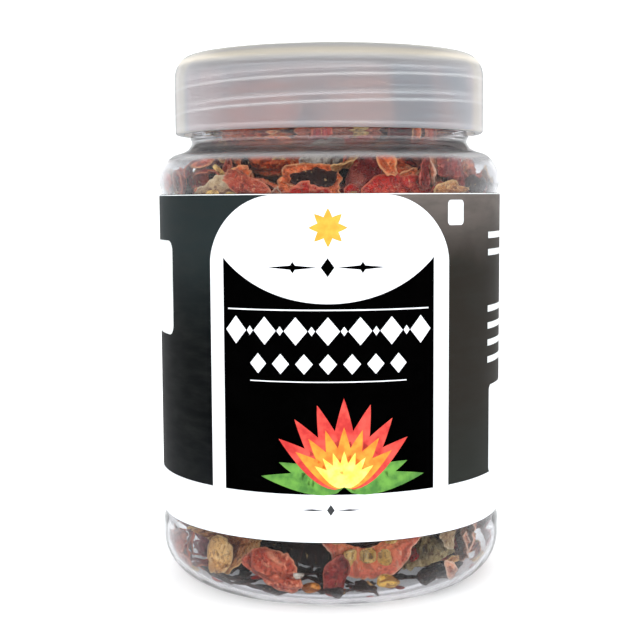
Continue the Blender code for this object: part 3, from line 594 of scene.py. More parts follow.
def thread_share(turns, heights, thread, line_below=None):
    """How much of a thread's full depth stands at each place, 0 to 1. With line_below, it is
    instead a painted highlight: a slim line so far under the ridge's middle, and a soft one over it."""
    _, at_front, lowest, highest = thread
    share = np.zeros(np.broadcast(turns, heights).shape)
    for n in range(-3, 4):
        middle = at_front + PITCH * ((turns - FRONT) / (2 * math.pi) + n)
        away = np.abs(heights - middle)
        ridge = smooth_step((THREAD_ROOT / 2 - away) / ((THREAD_ROOT - THREAD_CREST) / 2))
        if line_below is not None:
            ridge = bell(heights, middle - line_below, SLIM_LINE)
            ridge = np.maximum(ridge, 0.45 * bell(heights, middle + 0.75 * MM, SOFT_LINE))
        start = smooth_step((middle - lowest) / THREAD_FADE)
        share = np.maximum(share, ridge * (start * smooth_step((highest - middle) / THREAD_FADE)))
    return share


def turned(name, profile, material, slot, body, thread=None, wall=None):
    """Turns a profile that starts and ends on the axis. Points on the wall radius get the thread."""
    profile = np.array(profile)
    radii = profile[1:-1, :1]
    heights = profile[1:-1, 1:]
    turns = FRONT + np.arange(STEPS) * 2 * math.pi / STEPS
    if thread is not None:
        on_wall = (np.abs(radii - wall) < 1e-7) & (heights > CAP_BOTTOM + 0.3 * MM)
        radii = radii + on_wall * thread[0] * thread_share(turns[None, :], heights, thread)
    rows = rings(radii, heights, turns)
    points = np.vstack([[[0, 0, profile[0, 1]]], rows.reshape(-1, 3), [[0, 0, profile[-1, 1]]]])
    faces = ring_quads(len(rows), STEPS, 1)
    last = 1 + (len(rows) - 1) * STEPS
    for here in range(STEPS):
        there = (here + 1) % STEPS
        faces += [[0, 1 + there, 1 + here], [len(points) - 1, last + here, last + there]]
    piece = add_piece(mesh_from(name, points, faces), material, body)
    # The cap keeps where its painted highlights lie
    if body == "cap_body":
        store_value(piece, "ridge", painted_cap_glints(on_wall, radii, heights, turns[None, :]))
    # The jar keeps where its painted reflection lies
    if body == "jar_body":
        store_value(piece, "haze", painted_gleam_band(heights) + np.zeros((1, STEPS)))
    form = bmesh.new()
    form.from_mesh(piece.data)
    bmesh.ops.recalc_face_normals(form, faces=form.faces)
    form.to_mesh(piece.data)
    form.free()
    return piece


def painted_cap_glints(on_bore, radii, heights, turns):
    """Where the cap gets painted highlights: along its thread, near its lower edge and round its corner.
    """
    lines = thread_share(turns, heights, CAP_THREAD, LINE_BELOW)
    lines = np.maximum(lines, 0.7 * bell(heights, CAP_BOTTOM + 0.95 * MM, 0.28 * MM))
    lines *= np.where(on_bore, 1.0, 0.4) * (on_bore | (radii > CAP_RADIUS - 1e-7))
    return np.maximum(lines, 1.2 * bell(heights, GLINT_CORNER_HEIGHT, 0.75 * MM) * (radii > 29 * MM))


def painted_gleam_band(heights):
    """Where the jar gets a painted reflection: in a band at the shoulder's top, less at the root of the
    neck.
    """
    band = np.exp(-(((heights - GLEAM_HEIGHT) / (1.2 * MM)) ** 4))
    return np.maximum(band, 0.7 * bell(heights, 91.3 * MM, 1.1 * MM))


def store_value(piece, name, rows):
    """Keeps a value of 0 to 1 for each point of a turned piece, from rows without its two ends."""
    values = np.concatenate([[0.0], rows.ravel(), [0.0]]).astype(np.float32)
    piece.data.attributes.new(name, "FLOAT", "POINT").data.foreach_set("value", values)


def bead(profile):
    """Adds the small bead at the foot of the jar's neck."""
    out = []
    for radius, height in profile:
        if abs(radius - NECK_RADIUS) < 1e-7 and height < 95.5 * MM:
            radius += BEAD_DEPTH * bell(height, BEAD_HEIGHT, 0.42 * MM)
        out.append((radius, height))
    return out


# Label


def wrapped(along, outwards, height):
    """A point on the label: so far right of the front, out from the film's face, and up."""
    turn = FRONT + along / LABEL_OUTER
    radius = LABEL_OUTER + outwards
    return Vector((radius * math.cos(turn), radius * math.sin(turn), height))


def printed(name, outlines, level, material):
    """Printed shapes, from flat outlines of (right, up) in mm, as one thin slab on the label."""
    form = bmesh.new()
    for outline in outlines:
        corners = [form.verts.new((right * MM, 0, up * MM)) for right, up in outline]
        face = form.faces.new(corners)
        face.normal_update()
        if face.normal.y > 0:
            face.normal_flip()
    bmesh.ops.triangulate(form, faces=form.faces)
    rights = [v.co.x for v in form.verts]
    step = 0.8 * MM
    for cut in range(math.ceil(min(rights) / step), math.ceil(max(rights) / step)):
        everything = [*form.verts, *form.edges, *form.faces]
        plane = {"plane_co": (cut * step, 0, 0), "plane_no": (1, 0, 0)}
        bmesh.ops.bisect_plane(form, geom=everything, dist=1e-7, **plane)
    fronts = list(form.faces)
    back = bmesh.ops.extrude_face_region(form, geom=fronts, use_keep_orig=True)
    for item in back["geom"]:
        if isinstance(item, bmesh.types.BMVert):
            item.co.y = -1.0
    top = level * PRINT_STEP
    for vert in form.verts:
        out = top if vert.co.y < -0.5 else top - PRINT_DEPTH
        vert.co = wrapped(vert.co.x, out, vert.co.z)
    bmesh.ops.recalc_face_normals(form, faces=form.faces)
    mesh = bpy.data.meshes.new(name)
    form.to_mesh(mesh)
    form.free()
    mesh.shade_smooth()
    add_piece(mesh, material, sharp=30)


def band(low, high, left, right):
    return [(left, low), (right, low), (right, high), (left, high)]


def rounded_panel(left, right, low, high, radius):
    """A panel with four rounded corners."""
    points = []
    corners = ((right - radius, high - radius, 0), (left + radius, high - radius, 90),
               (left + radius, low + radius, 180), (right - radius, low + radius, 270))
    for across, up, start in corners:
        for turn in np.radians(np.linspace(start, start + 90, 8)):
            points.append((across + radius * math.cos(turn), up + radius * math.sin(turn)))
    return points


def petal(base, way, length, width):
    """A pointed petal from its base, its way in degrees from straight up, clockwise."""
    turn = math.radians(way)
    up = np.array([math.sin(turn), math.cos(turn)])
    side = np.array([math.cos(turn), -math.sin(turn)])
    shares = np.linspace(0, 1, 14)
    half = width / 2 * (np.sin(math.pi * shares ** (1 / 1.6)) ** 0.9)
    right = [np.array(base) + up * length * s + side * h for s, h in zip(shares, half)]
    left = [np.array(base) + up * length * s - side * h for s, h in zip(shares[-2:0:-1], half[-2:0:-1])]
    return [tuple(p) for p in right + left]


def lozenge(right, up, width, height):
    half = width / 2
    return [(right - half, up), (right, up - height / 2), (right + half, up), (right, up + height / 2)]


def tapered_rule(left, right, up, thick):
    """A thin rule that tapers to points at both ends."""
    middle = (left + right) / 2
    return [(left, up), (middle, up - thick / 2), (right, up), (middle, up + thick / 2)]


def make_label_film(material):
    """The film itself: a slim band with soft edges, open at the back."""
    edge = 0.08 * MM
    middle = np.linspace(LABEL_BOTTOM + 1 * MM, LABEL_TOP - 1 * MM, 5)
    heights = [LABEL_BOTTOM, LABEL_BOTTOM + edge, *middle, LABEL_TOP - edge, LABEL_TOP]
    rows = [(LABEL_OUTER - edge * (i in (0, len(heights) - 1)), z) for i, z in enumerate(heights)]
    rows += [(LABEL_INNER, z) for z in (LABEL_TOP, LABEL_BOTTOM)]
    rows = np.array(rows)
    turns = np.linspace(FRONT - LABEL_HALF_TURN, FRONT + LABEL_HALF_TURN, 241)
    points = rings(rows[:, :1], rows[:, 1:], turns).reshape(-1, 3)
    count = len(turns)
    faces = []
    for row in range(len(rows)):
        here = row * count
        there = (row + 1) % len(rows) * count
        faces += [[here + k, here + k + 1, there + k + 1, there + k] for k in range(count - 1)]
    faces.append([row * count for row in range(len(rows))])
    faces.append([row * count + count - 1 for row in reversed(range(len(rows)))])
    film = add_piece(mesh_from("label_film", points, faces), material, sharp=50)
    film.data.materials.append(print_look("label_back", (214, 214, 212), (224, 224, 222), 8.0, 0.6, 0.2))
    for face in film.data.polygons:
        face.material_index = int(math.hypot(face.center.x, face.center.y) < LABEL_INNER + 0.02 * MM)
    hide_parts("label")


# Inks of the label: two tones, the size of their patches in mm, and any roughness and gloss
INKS = {
    "white": ((232, 235, 239), (228, 231, 236), 6.0),
    "black": ((1, 1, 1), (2, 2, 2), 6.0, 0.42, 0.0),
    "gold": ((216, 146, 40), (228, 164, 56), 1.5),
    "red": ((176, 34, 32), (214, 74, 62), 2.2),
    "orange": ((232, 110, 26), (246, 146, 44), 2.0),
    "yellow": ((250, 198, 62), (254, 226, 120), 2.0),
    "green": ((58, 110, 40), (96, 150, 58), 2.0),
    "grey": ((40, 42, 44), (52, 54, 56), 6.0),
    "pale": ((206, 212, 212), (224, 228, 228), 6.0),
}
BAND_END = LABEL_HALF_TURN * LABEL_OUTER / MM - 0.15
FLOWER_BASE = (2.6, 25.6)


def arch():
    """The white panel behind the black one, with an arched top."""
    left = []
    for turn in np.radians(np.linspace(0, 90, 24)):
        across = 13.9 * math.cos(turn) ** (2 / 1.75)
        left.append((-11.4 - across, 68.5 + 12.85 * math.sin(turn) ** (2 / 1.75)))
    right = [(-across - 0.1, up) for across, up in reversed(left)]
    return [(-25.3, 24.0), *left, *right, (25.2, 24.0)]


def hollow_panel():
    """The black panel, whose top edge is hollow."""
    bow = 31.4
    rights = np.linspace(-21.6, 21.6, 48)
    hollow = [(right - 0.3, 60.8 + bow - math.sqrt(bow**2 - right**2)) for right in rights]
    return [(21.3, 24.1), (-21.9, 24.1), *hollow][::-1]


def lozenge_row(count, apart, up, width, height):
    return [lozenge(-0.4 + apart * (k - (count - 1) / 2), up, width, height) for k in range(count)]


def petals(length, width, less=0.0):
    """Seven petals of the flower, each shorter by so much for every step that it leans."""
    return [petal(FLOWER_BASE, 18 * k, length - abs(k) * less, width) for k in range(-3, 4)]


def make_label_print():
    rules = ((72.5, 18), (69.0, 22), (57.5, 15), (54.0, 20), (50.5, 17), (47.0, 21))
    leaves = ((-84, 16.5), (-70, 13.5), (84, 16.5), (70, 13.5))
    shapes = (
        ("white_band", 1, "white", [band(14.75, 24.1, -BAND_END, BAND_END)]),
        # A pale line along the top edge of the label
        ("top_rule", 1, "pale", [band(81.42, 81.6, -BAND_END, BAND_END)]),
        ("white_panel", 2, "white", [arch()]),
        ("black_panel", 3, "black", [hollow_panel()]),
        ("rosette", 3, "gold", [petal((-0.3, 75.2), 45 * k, 3.7, 1.9) for k in range(8)]),
        ("divider", 3, "black", [
            tapered_rule(-12.1, -2.2, 67.7, 0.9), tapered_rule(1.4, 10.9, 67.7, 0.9),
            lozenge(-0.4, 67.7, 2.6, 3.6), lozenge(-7.1, 67.7, 1.5, 2.2), lozenge(6.3, 67.7, 1.5, 2.2),
        ]),
        ("lozenges", 4, "white", [
            *lozenge_row(7, 6.2, 55.6, 4.6, 5.4), *lozenge_row(6, 6.2, 55.6, 1.3, 1.8),
            *lozenge_row(7, 4.6, 49.3, 3.4, 3.9),
            band(59.5, 59.75, -20.8, 20.0), band(45.8, 46.0, -15.9, 15.1),
        ]),
        ("leaves", 4, "green", [petal(FLOWER_BASE, way, length, 4.2) for way, length in leaves]),
        ("outer_petals", 5, "red", petals(17.2, 4.8, 0.5)),
        ("middle_petals", 6, "orange", petals(11.6, 3.4)),
        ("inner_petals", 7, "yellow", petals(7.0, 2.1)),
        ("band_mark", 3, "grey", [
            tapered_rule(-6.0, -1.2, 21.1, 0.4), tapered_rule(1.2, 6.0, 21.1, 0.4),
            lozenge(0, 21.1, 1.5, 2.2),
        ]),
        ("patch", 2, "white", [rounded_panel(24.9, 29.4, 75.4, 80.3, 0.8)]),
        ("left_panel", 2, "pale", [rounded_panel(-66, -39, 53, 72.3, 2.2)]),
        ("right_rules", 2, "pale", [band(up, up + 1.3, 39.5, 39.5 + width) for up, width in rules]),
        ("right_panel", 2, "white", [rounded_panel(40.5, 70, 24.0, 42.3, 1.2)]),
    )
    inks = {name: print_look("print_" + name, *tones) for name, tones in INKS.items()}
    for name, level, ink, outlines in shapes:
        printed("label_" + name, outlines, level, inks[ink])


# Fill


def point_normals(points, quads):
    a, b, c, d = (points[quads[:, corner]] for corner in range(4))
    faces = np.cross(c - a, d - b)
    total = np.zeros_like(points)
    for corner in range(4):
        np.add.at(total, quads[:, corner], faces)
    length = np.linalg.norm(total, axis=1, keepdims=True)
    return total / np.maximum(length, 1e-12)


def rim_edges(quads):
    """The directed edges that only one quad has."""
    pairs = np.concatenate([quads[:, [i, (i + 1) % 4]] for i in range(4)])
    _, first, count = np.unique(np.sort(pairs, axis=1), axis=0, return_index=True, return_counts=True)
    return pairs[first[count == 1]]


def noise_at(points, size, shift=0.0):
    """Perlin noise of about -1 to 1, with features of the given size."""
    return np.array([noise.noise(place) for place in (points / size + shift).tolist()])


def noise_vectors(points, size, shift=0.0):
    """The same as vectors."""
    return np.array([noise.noise_vector(place)[:] for place in (points / size + shift).tolist()])


def distances(points, targets):
    """Each point's distance to the nearest target."""
    tree = KDTree(len(targets))
    for i, place in enumerate(targets.tolist()):
        tree.insert(place, i)
    tree.balance()
    return np.array([tree.find(place)[2] for place in points.tolist()])


def inner_limits():
    """The jar's inner radius over height, and its floor's height over radius."""
    profile = np.array(jar_inner_profile())
    walls = profile[profile[:, 0] >= FOOT_OUTER - 0.31 * MM][::-1]
    floor = profile[(profile[:, 1] < 10 * MM)][::-1]
    return walls, floor


WALLS, FLOOR = inner_limits()


def keep_inside(points, margin=WALL_MARGIN):
    """Moves points that come too near the jar's wall or floor back inside, in place."""
    radii = np.hypot(points[:, 0], points[:, 1])
    most = np.interp(points[:, 2], WALLS[:, 1], WALLS[:, 0]) - margin
    points[:, :2] *= np.minimum(1.0, most / np.maximum(radii, 1e-9))[:, None]
    radii = np.minimum(radii, most)
    inner = radii < FOOT_OUTER
    least = np.where(inner, np.interp(radii, FLOOR[:, 0], FLOOR[:, 1]), BASE_THICKNESS) + margin
    points[:, 2] = np.clip(points[:, 2], least, LINER_BOTTOM - LID_GAP)
    return points


def welded(node):
    """A CAD node's mesh as a bmesh whose faces share their points."""
    form = bmesh.new()
    form.from_mesh(node.data)
    bmesh.ops.remove_doubles(form, verts=form.verts, dist=2e-6)
    form.normal_update()
    return form


def rim_faces(form, thickness):
    """Faces at edges that are as long as the sheet is thick and join its two sides."""
    rim = set()
    for edge in form.edges:
        a, b = edge.verts
        way = (b.co - a.co).normalized()
        joins_sides = a.normal.dot(way) < -0.2 and b.normal.dot(way) > 0.2
        if joins_sides and abs(edge.calc_length() - thickness) < 0.012 * MM:
            rim.update(edge.link_faces)
    return rim


def connected_parts(faces):
    """The faces in groups that hang together."""
    todo = set(faces)
    parts = []
    for start in sorted(faces, key=lambda face: face.index):
        if start not in todo:
            continue
        todo.discard(start)
        part = [start]
        for face in part:
            for edge in face.edges:
                for other in edge.link_faces:
                    if other in todo:
                        todo.discard(other)
                        part.append(other)
        parts.append(part)
    return parts


def outer_layer(node, thickness):
    """The middle layer of a sheet of the CAD, from its outer side, without rim and seeds."""
    form = welded(node)
    parts = connected_parts(set(form.faces) - rim_faces(form, thickness))
    middle = sum((vert.co for vert in form.verts), start=Vector()) / len(form.verts)

    def area(part):
        return sum(face.calc_area() for face in part)

    def bulge(part):
        """How far the part's faces look away from the middle."""
        away = (face.calc_area() * (face.calc_center_median() - middle).dot(face.normal) for face in part)
        return sum(away) / area(part)

    parts.sort(key=area, reverse=True)
    chosen = set(max(parts[:2], key=bulge))
    others = [face for face in form.faces if face not in chosen]
    bmesh.ops.delete(form, geom=others, context="FACES")
    for vert in form.verts:
        vert.co -= vert.normal * thickness / 2
    widen_rim(form)
    return form


def widen_rim(form):
    """Moves the open rim outwards, for the tears to bite into, and keeps it sharp."""
    wider = {}
    for vert in form.verts:
        if vert.is_boundary:
            inland = [edge.other_vert(vert).co for edge in vert.link_edges if not edge.is_boundary]
            way = vert.co - sum(inland, start=Vector()) / len(inland)
            wider[vert] = way.normalized() * RIM_GROWTH
    for vert, move in wider.items():
        vert.co += move
    crease = form.edges.layers.float.new("crease_edge")
    for edge in form.edges:
        edge[crease] = 0.8 * edge.is_boundary


def refined(form, level):
    """Subdivides a bmesh smoothly, and returns its points and quads."""
    mesh = bpy.data.meshes.new("refined")
    form.to_mesh(mesh)
    form.free()
    carrier = bpy.data.objects.new("refined", mesh)
    bpy.context.scene.collection.objects.link(carrier)
    carrier.modifiers.new("refine", "SUBSURF").levels = level
    fine = carrier.evaluated_get(bpy.context.evaluated_depsgraph_get()).to_mesh()
    points = np.empty(len(fine.vertices) * 3)
    fine.vertices.foreach_get("co", points)
    corners = np.empty(len(fine.loops), int)
    fine.loops.foreach_get("vertex_index", corners)
    bpy.data.objects.remove(carrier)
    bpy.data.meshes.remove(mesh)
    return points.reshape(-1, 3), corners.reshape(-1, 4)


def compact(points, quads):
    """Drops the points that no quad uses."""
    used, inverse = np.unique(quads, return_inverse=True)
    return points[used], inverse.reshape(-1, 4)


def largest_part(quads, point_count):
    """The quads of the largest connected part."""
    label = np.arange(point_count)
    while True:
        low = label[quads].min(axis=1)
        new = label.copy()
        for corner in range(4):
            np.minimum.at(new, quads[:, corner], low)
        new = new[new]
        if np.array_equal(new, label):
            break
        label = new
    own = label[quads[:, 0]]
    names, counts = np.unique(own, return_counts=True)
    return quads[own == names[counts.argmax()]]


def tear_rim(points, quads, shift, depth):
    """Takes small bites out of a sheet's rim and smooths the steps that this leaves."""
    rim = rim_edges(quads)
    away = distances(points, points[np.unique(rim)])
    bite = 0.25 + 0.9 * noise_at(points, 2.6 * MM, shift) + 0.5 * noise_at(points, 1.0 * MM, shift)
    keep = (away >= depth * bite)[quads].any(axis=1)
    points, quads = compact(points, largest_part(quads[keep], len(points)))
    rim = rim_edges(quads)
    for _ in range(3):
        total = np.zeros_like(points)
        count = np.zeros(len(points))
        for a, b in ((0, 1), (1, 0)):
            np.add.at(total, rim[:, a], points[rim[:, b]])
            np.add.at(count, rim[:, a], 1)
        on_rim = count > 0
        points[on_rim] = 0.5 * points[on_rim] + 0.5 * total[on_rim] / count[on_rim, None]
    return points, quads, rim


def long_axis(points):
    return np.linalg.svd(points - points.mean(axis=0), full_matrices=False)[2][0]


def creases(points, axis, shift):
    """Height of sharp creases along the axis and finer crinkles across it, about -1 to 1."""
    along = points @ axis
    stretched = points - 0.6 * along[:, None] * axis
    stretched = stretched + 0.8 * MM * noise_vectors(points, 3.2 * MM, shift)
    long = 3.2 * np.abs(noise_at(stretched, 3.0 * MM, shift)) - 0.8
    fine = 3.0 * np.abs(noise_at(stretched, 1.3 * MM, shift + 7.3)) - 0.8
    broad = noise_at(points, 6.0 * MM, shift + 3.1)
    return 0.6 * long + 0.42 * fine + 0.55 * broad


def add_dried(name, points, faces, material, slot, values):
    """Adds a dried piece. Its material reads each point's side, distance from the rim and relief."""
    piece = add_piece(mesh_from(name, points, faces), material)
    values = np.column_stack([np.clip(values, 0, 1), np.ones(len(values))])
    layer = piece.data.attributes.new("sheet", "FLOAT_COLOR", "POINT")
    layer.data.foreach_set("color", values.astype(np.float32).ravel())
    return piece


def solid_values(relief):
    """The values of points that are all outside and far from a rim."""
    ones = np.ones(len(relief))
    return np.stack([ones, ones, relief], axis=1)


def fine_sheet(name, node, slot, level, material, rng):
    """A torn, crinkled sheet in the place of a sheet of the CAD."""
    points, quads = refined(outer_layer(node, SHEET_THICKNESS[slot]), level)
    shift = rng.uniform(-50, 50, 3)
    small = len(points) < 700 * 4 ** (level - 3)
    points, quads, rim = tear_rim(points, quads, shift, (0.7 if small else 1.4) * MM)
    sheet = dress_sheet(points, quads, rim, slot, shift)
    form = (sheet["mesh_points"], sheet["faces"])
    piece = add_dried(name + "_fine", *form, material, slot, sheet["values"])
    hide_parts(name)
    return sheet


def dress_sheet(points, quads, rim, slot, shift):
    """Crinkles a sheet's middle layer, curls its rim and makes it thick, but thinner at the rim."""
    points = points + 0.55 * MM * noise_vectors(points, 8 * MM)
    normals = point_normals(points, quads)
    away = distances(points, points[np.unique(rim)])
    relief = creases(points, long_axis(points), shift)
    curl = np.exp(-away / (1.6 * MM)) * noise_at(points, 4.5 * MM, shift + 11)
    lift = (0.3 if slot == "pith" else 0.5) * MM * relief + 0.9 * MM * curl
    half = FINE_THICKNESS[slot] / 2 * (0.4 + 0.6 * smooth_step(away / (0.9 * MM)))
    points = keep_inside(points + normals * lift[:, None], WALL_MARGIN + half)
    normals = point_normals(points, quads)
    outer = keep_inside(points + normals * half[:, None])
    inner = keep_inside(points - normals * half[:, None])
    count = len(points)
    a, b = rim.T
    around = np.stack([b, a, a + count, b + count], axis=1)
    sides = np.repeat([1.0, 0.0], count)
    values = [sides, np.tile(away / (6 * MM), 2), np.tile(0.5 + 0.4 * relief, 2)]
    return {
        "points": points, "normals": normals, "away": away, "half": half,
        "mesh_points": np.vstack([outer, inner]), "values": np.stack(values, axis=1),
        "faces": np.concatenate([quads, quads[:, ::-1] + count, around]),
    }


def fine_solid(name, node, slot, level, material, rng):
    """A wrinkled pod, stem end or crumb in the place of a solid of the CAD."""
    points, quads = refined(welded(node), level)
    shift = rng.uniform(-50, 50, 3)
    axis = long_axis(points)
    lift = min(0.55 * MM, 0.035 * np.ptp(points, axis=0).max())
    points += 0.4 * MM * noise_vectors(points, 8 * MM)
    relief = creases(points, axis, shift)
    points = keep_inside(points + point_normals(points, quads) * (lift * (relief - 0.5))[:, None])
    piece = add_dried(name + "_fine", points, quads, material, slot, solid_values(0.5 + 0.4 * relief))
    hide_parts(name)


def seed_points(rng):
    """Points and faces of one flat, slightly kidney-shaped seed about its centre, +Z across it."""
    around = 14
    turns = np.arange(around) * 2 * math.pi / around
    length = rng.uniform(1.7, 2.05) * MM
    width = rng.uniform(0.8, 0.9)
    outline = length * (1 - 0.13 * np.exp(-((turns - math.pi) ** 2) / 0.25))
    wave = 0.1 * MM * np.cos(2 * turns + length * 9000)
    half = ((0.5, 0.36), (0.78, 0.44), (0.93, 0.4), (1.0, 0.16))
    points = [[(0.0, 0.0, 0.34 * MM)]]
    for share, lift in (*half, *((share, -lift) for share, lift in reversed(half))):
        x = outline * share * np.cos(turns)
        y = outline * share * np.sin(turns) * width
        points.append(np.stack([x, y, lift * MM + wave], axis=1))
    points = np.vstack([*points, [(0.0, 0.0, -0.34 * MM)]])
    last = len(points) - 1
    faces = []
    for here in range(around):
        there = (here + 1) % around
        faces.append((0, 1 + here, 1 + there))
        for low in range(1, last - around, around):
            high = low + around
            faces.append((low + here, high + here, high + there, low + there))
        faces.append((last - around + here, last, last - around + there))
    return points, faces


def turn_to(way, rng):
    """A turn that takes +Z to the given way, with a random spin about it."""
    tilt = Vector((0, 0, 1)).rotation_difference(Vector(way)).to_matrix()
    return np.array(tilt @ Matrix.Rotation(rng.uniform(0, 2 * math.pi), 3, "Z"))


class Scatter:
    """Many small pieces of one kind, gathered in one mesh."""

    def __init__(self):
        self.points = []
        self.faces = []
        self.values = []
        self.count = 0

    def add(self, points, faces, values=None):
        self.points.append(points)
        if values is None:
            values = solid_values(0.5 + 0.5 * noise_at(points, 0.9 * MM))
        self.values.append(values)
        self.faces += [tuple(self.count + i for i in face) for face in faces]
        self.count += len(points)

    def build(self, name, material, slot):
        if self.points:
            add_dried(name, np.vstack(self.points), self.faces, material, slot, np.vstack(self.values))


def build_kinds(kinds, prefix, looks):
    """Builds one piece for each colour."""
    for colour, scatter in kinds.items():
        slot = "pith" if colour == "seed" or colour.endswith("pith") else "skin"
        scatter.build(prefix + colour, looks[colour], slot)


def bits(rng, reach):
    """Points and faces of one small torn bit, bent and uneven."""
    form = bmesh.new()
    bmesh.ops.create_icosphere(form, subdivisions=2, radius=1.0)
    form.verts.ensure_lookup_table()
    points = np.array([v.co[:] for v in form.verts])
    faces = [tuple(v.index for v in face.verts) for face in form.faces]
    form.free()
    shift = rng.uniform(-50, 50, 3)
    points *= 1 + 0.55 * noise_at(points, 0.9, shift)[:, None]
    points *= reach / 2 * np.array([1.0, rng.uniform(0.5, 0.85), rng.uniform(0.16, 0.34)])
    points[:, 2] += rng.uniform(-0.35, 0.35) * points[:, 0] ** 2 / reach * 2
    return points, faces


# How many seeds sit on a piece
SEED_HOSTS = {
    "half_pod_front": 9, "half_pod_01": 6, "half_pod_02": 6, "half_pod_03": 6, "pith_top_left": 3,
    "flake_deep_red": 1, "skin_neck_middle": 2, "pith_01": 2, "pith_02": 2, "pith_front_left": 1,
}


def seat_seeds(sheets, tree, material, rng):
    """Seeds on the inner sides of their hosts, clear of what is near."""
    for host, wanted in SEED_HOSTS.items():
        sheet = sheets[host]
        seeds = Scatter()
        taken = []
        seen = sheet["points"][:, 2] < 17 * MM if host == "half_pod_front" else True
        places = rng.permutation(np.flatnonzero((sheet["away"] > 2.0 * MM) & seen))
        for i in places[:400]:
            if len(taken) == wanted:
                break
            down = -sheet["normals"][i]
            centre = sheet["points"][i] + down * (sheet["half"][i] + SEED_LIFT)
            if any(np.linalg.norm(centre - other) < SEED_GAP for other in taken):
                continue
            hit = tree.ray_cast(Vector(centre + down * 0.6 * MM), Vector(down), 1.6 * MM)
            if hit[0] is not None:
                continue
            lean = down + rng.normal(0, 0.28, 3)
            points, faces = seed_points(rng)
            points = points @ turn_to(lean, rng).T + centre
            moved = keep_inside(points.copy())
            if np.abs(moved - points).max() > 0.15 * MM:
                continue
            seeds.add(moved, faces)
            taken.append(centre)
        seeds.build(host + "_seeds", material, "pith")


# Loose bits and how often each falls, and from where: height, distances from the axis in mm, times
LOOSE = {"seed": 0.16, "dark_red": 0.26, "orange_red": 0.24, "tan_pith": 0.14, "deep_red": 0.2}
DROPS = ((14.0, 24.0, 34.4, 110), (90.0, 22.0, 34.0, 60), (104.0, 2.0, 27.0, 46), (12.0, 2.0, 26.0, 30))


def drop_bits(tree, looks, rng):
    """Loose seeds and small bits on the floor, on ledges near the wall and on top of the fill."""
    kinds = {name: Scatter() for name in LOOSE}
    for from_height, nearest, farthest, count in DROPS:
        for _ in range(count):
            radius = math.sqrt(rng.uniform(nearest**2, farthest**2)) * MM
            turn = rng.uniform(0, 2 * math.pi)
            start = Vector((radius * math.cos(turn), radius * math.sin(turn), from_height * MM))
            hit, normal, _, _ = tree.ray_cast(start, Vector((0, 0, -1)), 60 * MM)
            if hit is None or normal.z < 0.35 and hit.z > 10 * MM:
                continue
            name = list(LOOSE)[rng.choice(len(LOOSE), p=list(LOOSE.values()))]
            reach = rng.uniform(1.0, 3.2) * MM
            points, faces = seed_points(rng) if name == "seed" else bits(rng, reach)
            up = Vector(normal) if normal.z > 0 else -Vector(normal)
            lift = 0.45 if name == "seed" else 0.16 * reach / MM
            points = points @ turn_to(up, rng).T + np.array(hit + up * lift * MM)
            moved = keep_inside(points.copy())
            if np.abs(moved - points).max() <= 0.5 * MM and not hides_front(moved):
                kinds[name].add(moved, faces)
    build_kinds(kinds, "loose_", looks)


def lean_husk(material, rng):
    """A slim pale husk that leans on the wall at the foot of the front."""
    points, faces = seed_points(rng)
    points *= (0.62, 0.34, 0.8)
    points[:, 1] += 260 * points[:, 0] ** 2
    points = points @ turn_to((0, -1, 0), rng).T
    turn = math.radians(-11)
    points += np.array([math.sin(turn), -math.cos(turn), 0]) * 33.4 * MM + np.array([0, 0, 7.2 * MM])
    husk = Scatter()
    husk.add(keep_inside(points), faces)
    husk.build("husk_at_wall", material, "pith")


def disc_grid(count):
    """Points of a square grid drawn to a disc of radius 1, with its quads."""
    side = np.linspace(-1, 1, count + 1)
    u, v = np.meshgrid(side, side, indexing="ij")
    index = np.arange((count + 1) ** 2).reshape(count + 1, count + 1)
    quads = np.stack([index[:-1, :-1], index[1:, :-1], index[1:, 1:], index[:-1, 1:]], axis=-1)
    flat = np.stack([u * np.sqrt(1 - v**2 / 2), v * np.sqrt(1 - u**2 / 2)], axis=-1)
    return flat.reshape(-1, 2), quads.reshape(-1, 4)


class Flake:
    """A torn flake, rolled about its length. Its outer side is +Z."""

    def __init__(self, rng, length, flatness):
        self.length = length
        self.width = length * rng.uniform(0.5, 0.85)
        self.curl = rng.uniform(0.3, 1.1) * self.width * flatness
        self.arch = rng.choice((-1, 1)) * rng.uniform(0.9, 3.0) * length
        self.twist = rng.normal(0, 0.5)
        self.shift = rng.uniform(-50, 50, 3)

    def grid(self, count):
        """Points and quads of the flake about its centre, with so many quads along each side."""
        flat, quads = disc_grid(count)
        zero = np.zeros(len(flat))
        around = np.column_stack([flat / np.maximum(np.hypot(*flat.T), 1e-9)[:, None], zero])
        outline = 1 + 0.34 * noise_at(around, 0.9, self.shift) + 0.2 * noise_at(around, 0.3, self.shift)
        x = flat[:, 0] * outline * self.length / 2
        y = flat[:, 1] * outline * self.width / 2
        lift = noise_at(np.column_stack([x, y, zero]), 0.35 * self.length, self.shift)
        bow = self.curl + 0.11 * self.length * lift
        roll = y / self.curl + self.twist * x / self.length
        up = self.arch + (bow * np.cos(roll) - self.curl)
        lean = x / self.arch
        points = [up * np.sin(lean), bow * np.sin(roll), up * np.cos(lean) - self.arch]
        points = np.column_stack(points)
        return points - points.mean(axis=0), quads


def gathered(meshes):
    """The points and faces of all the meshes together."""
    points = []
    faces = []
    for mesh in meshes:
        first = len(points)
        points += [v.co[:] for v in mesh.vertices]
        faces += [tuple(first + i for i in face.vertices) for face in mesh.polygons]
    return points, faces


def span(points):
    """The centre of points and how far they reach from it."""
    centre = points.mean(axis=0)
    return centre, np.linalg.norm(points - centre, axis=1).max()


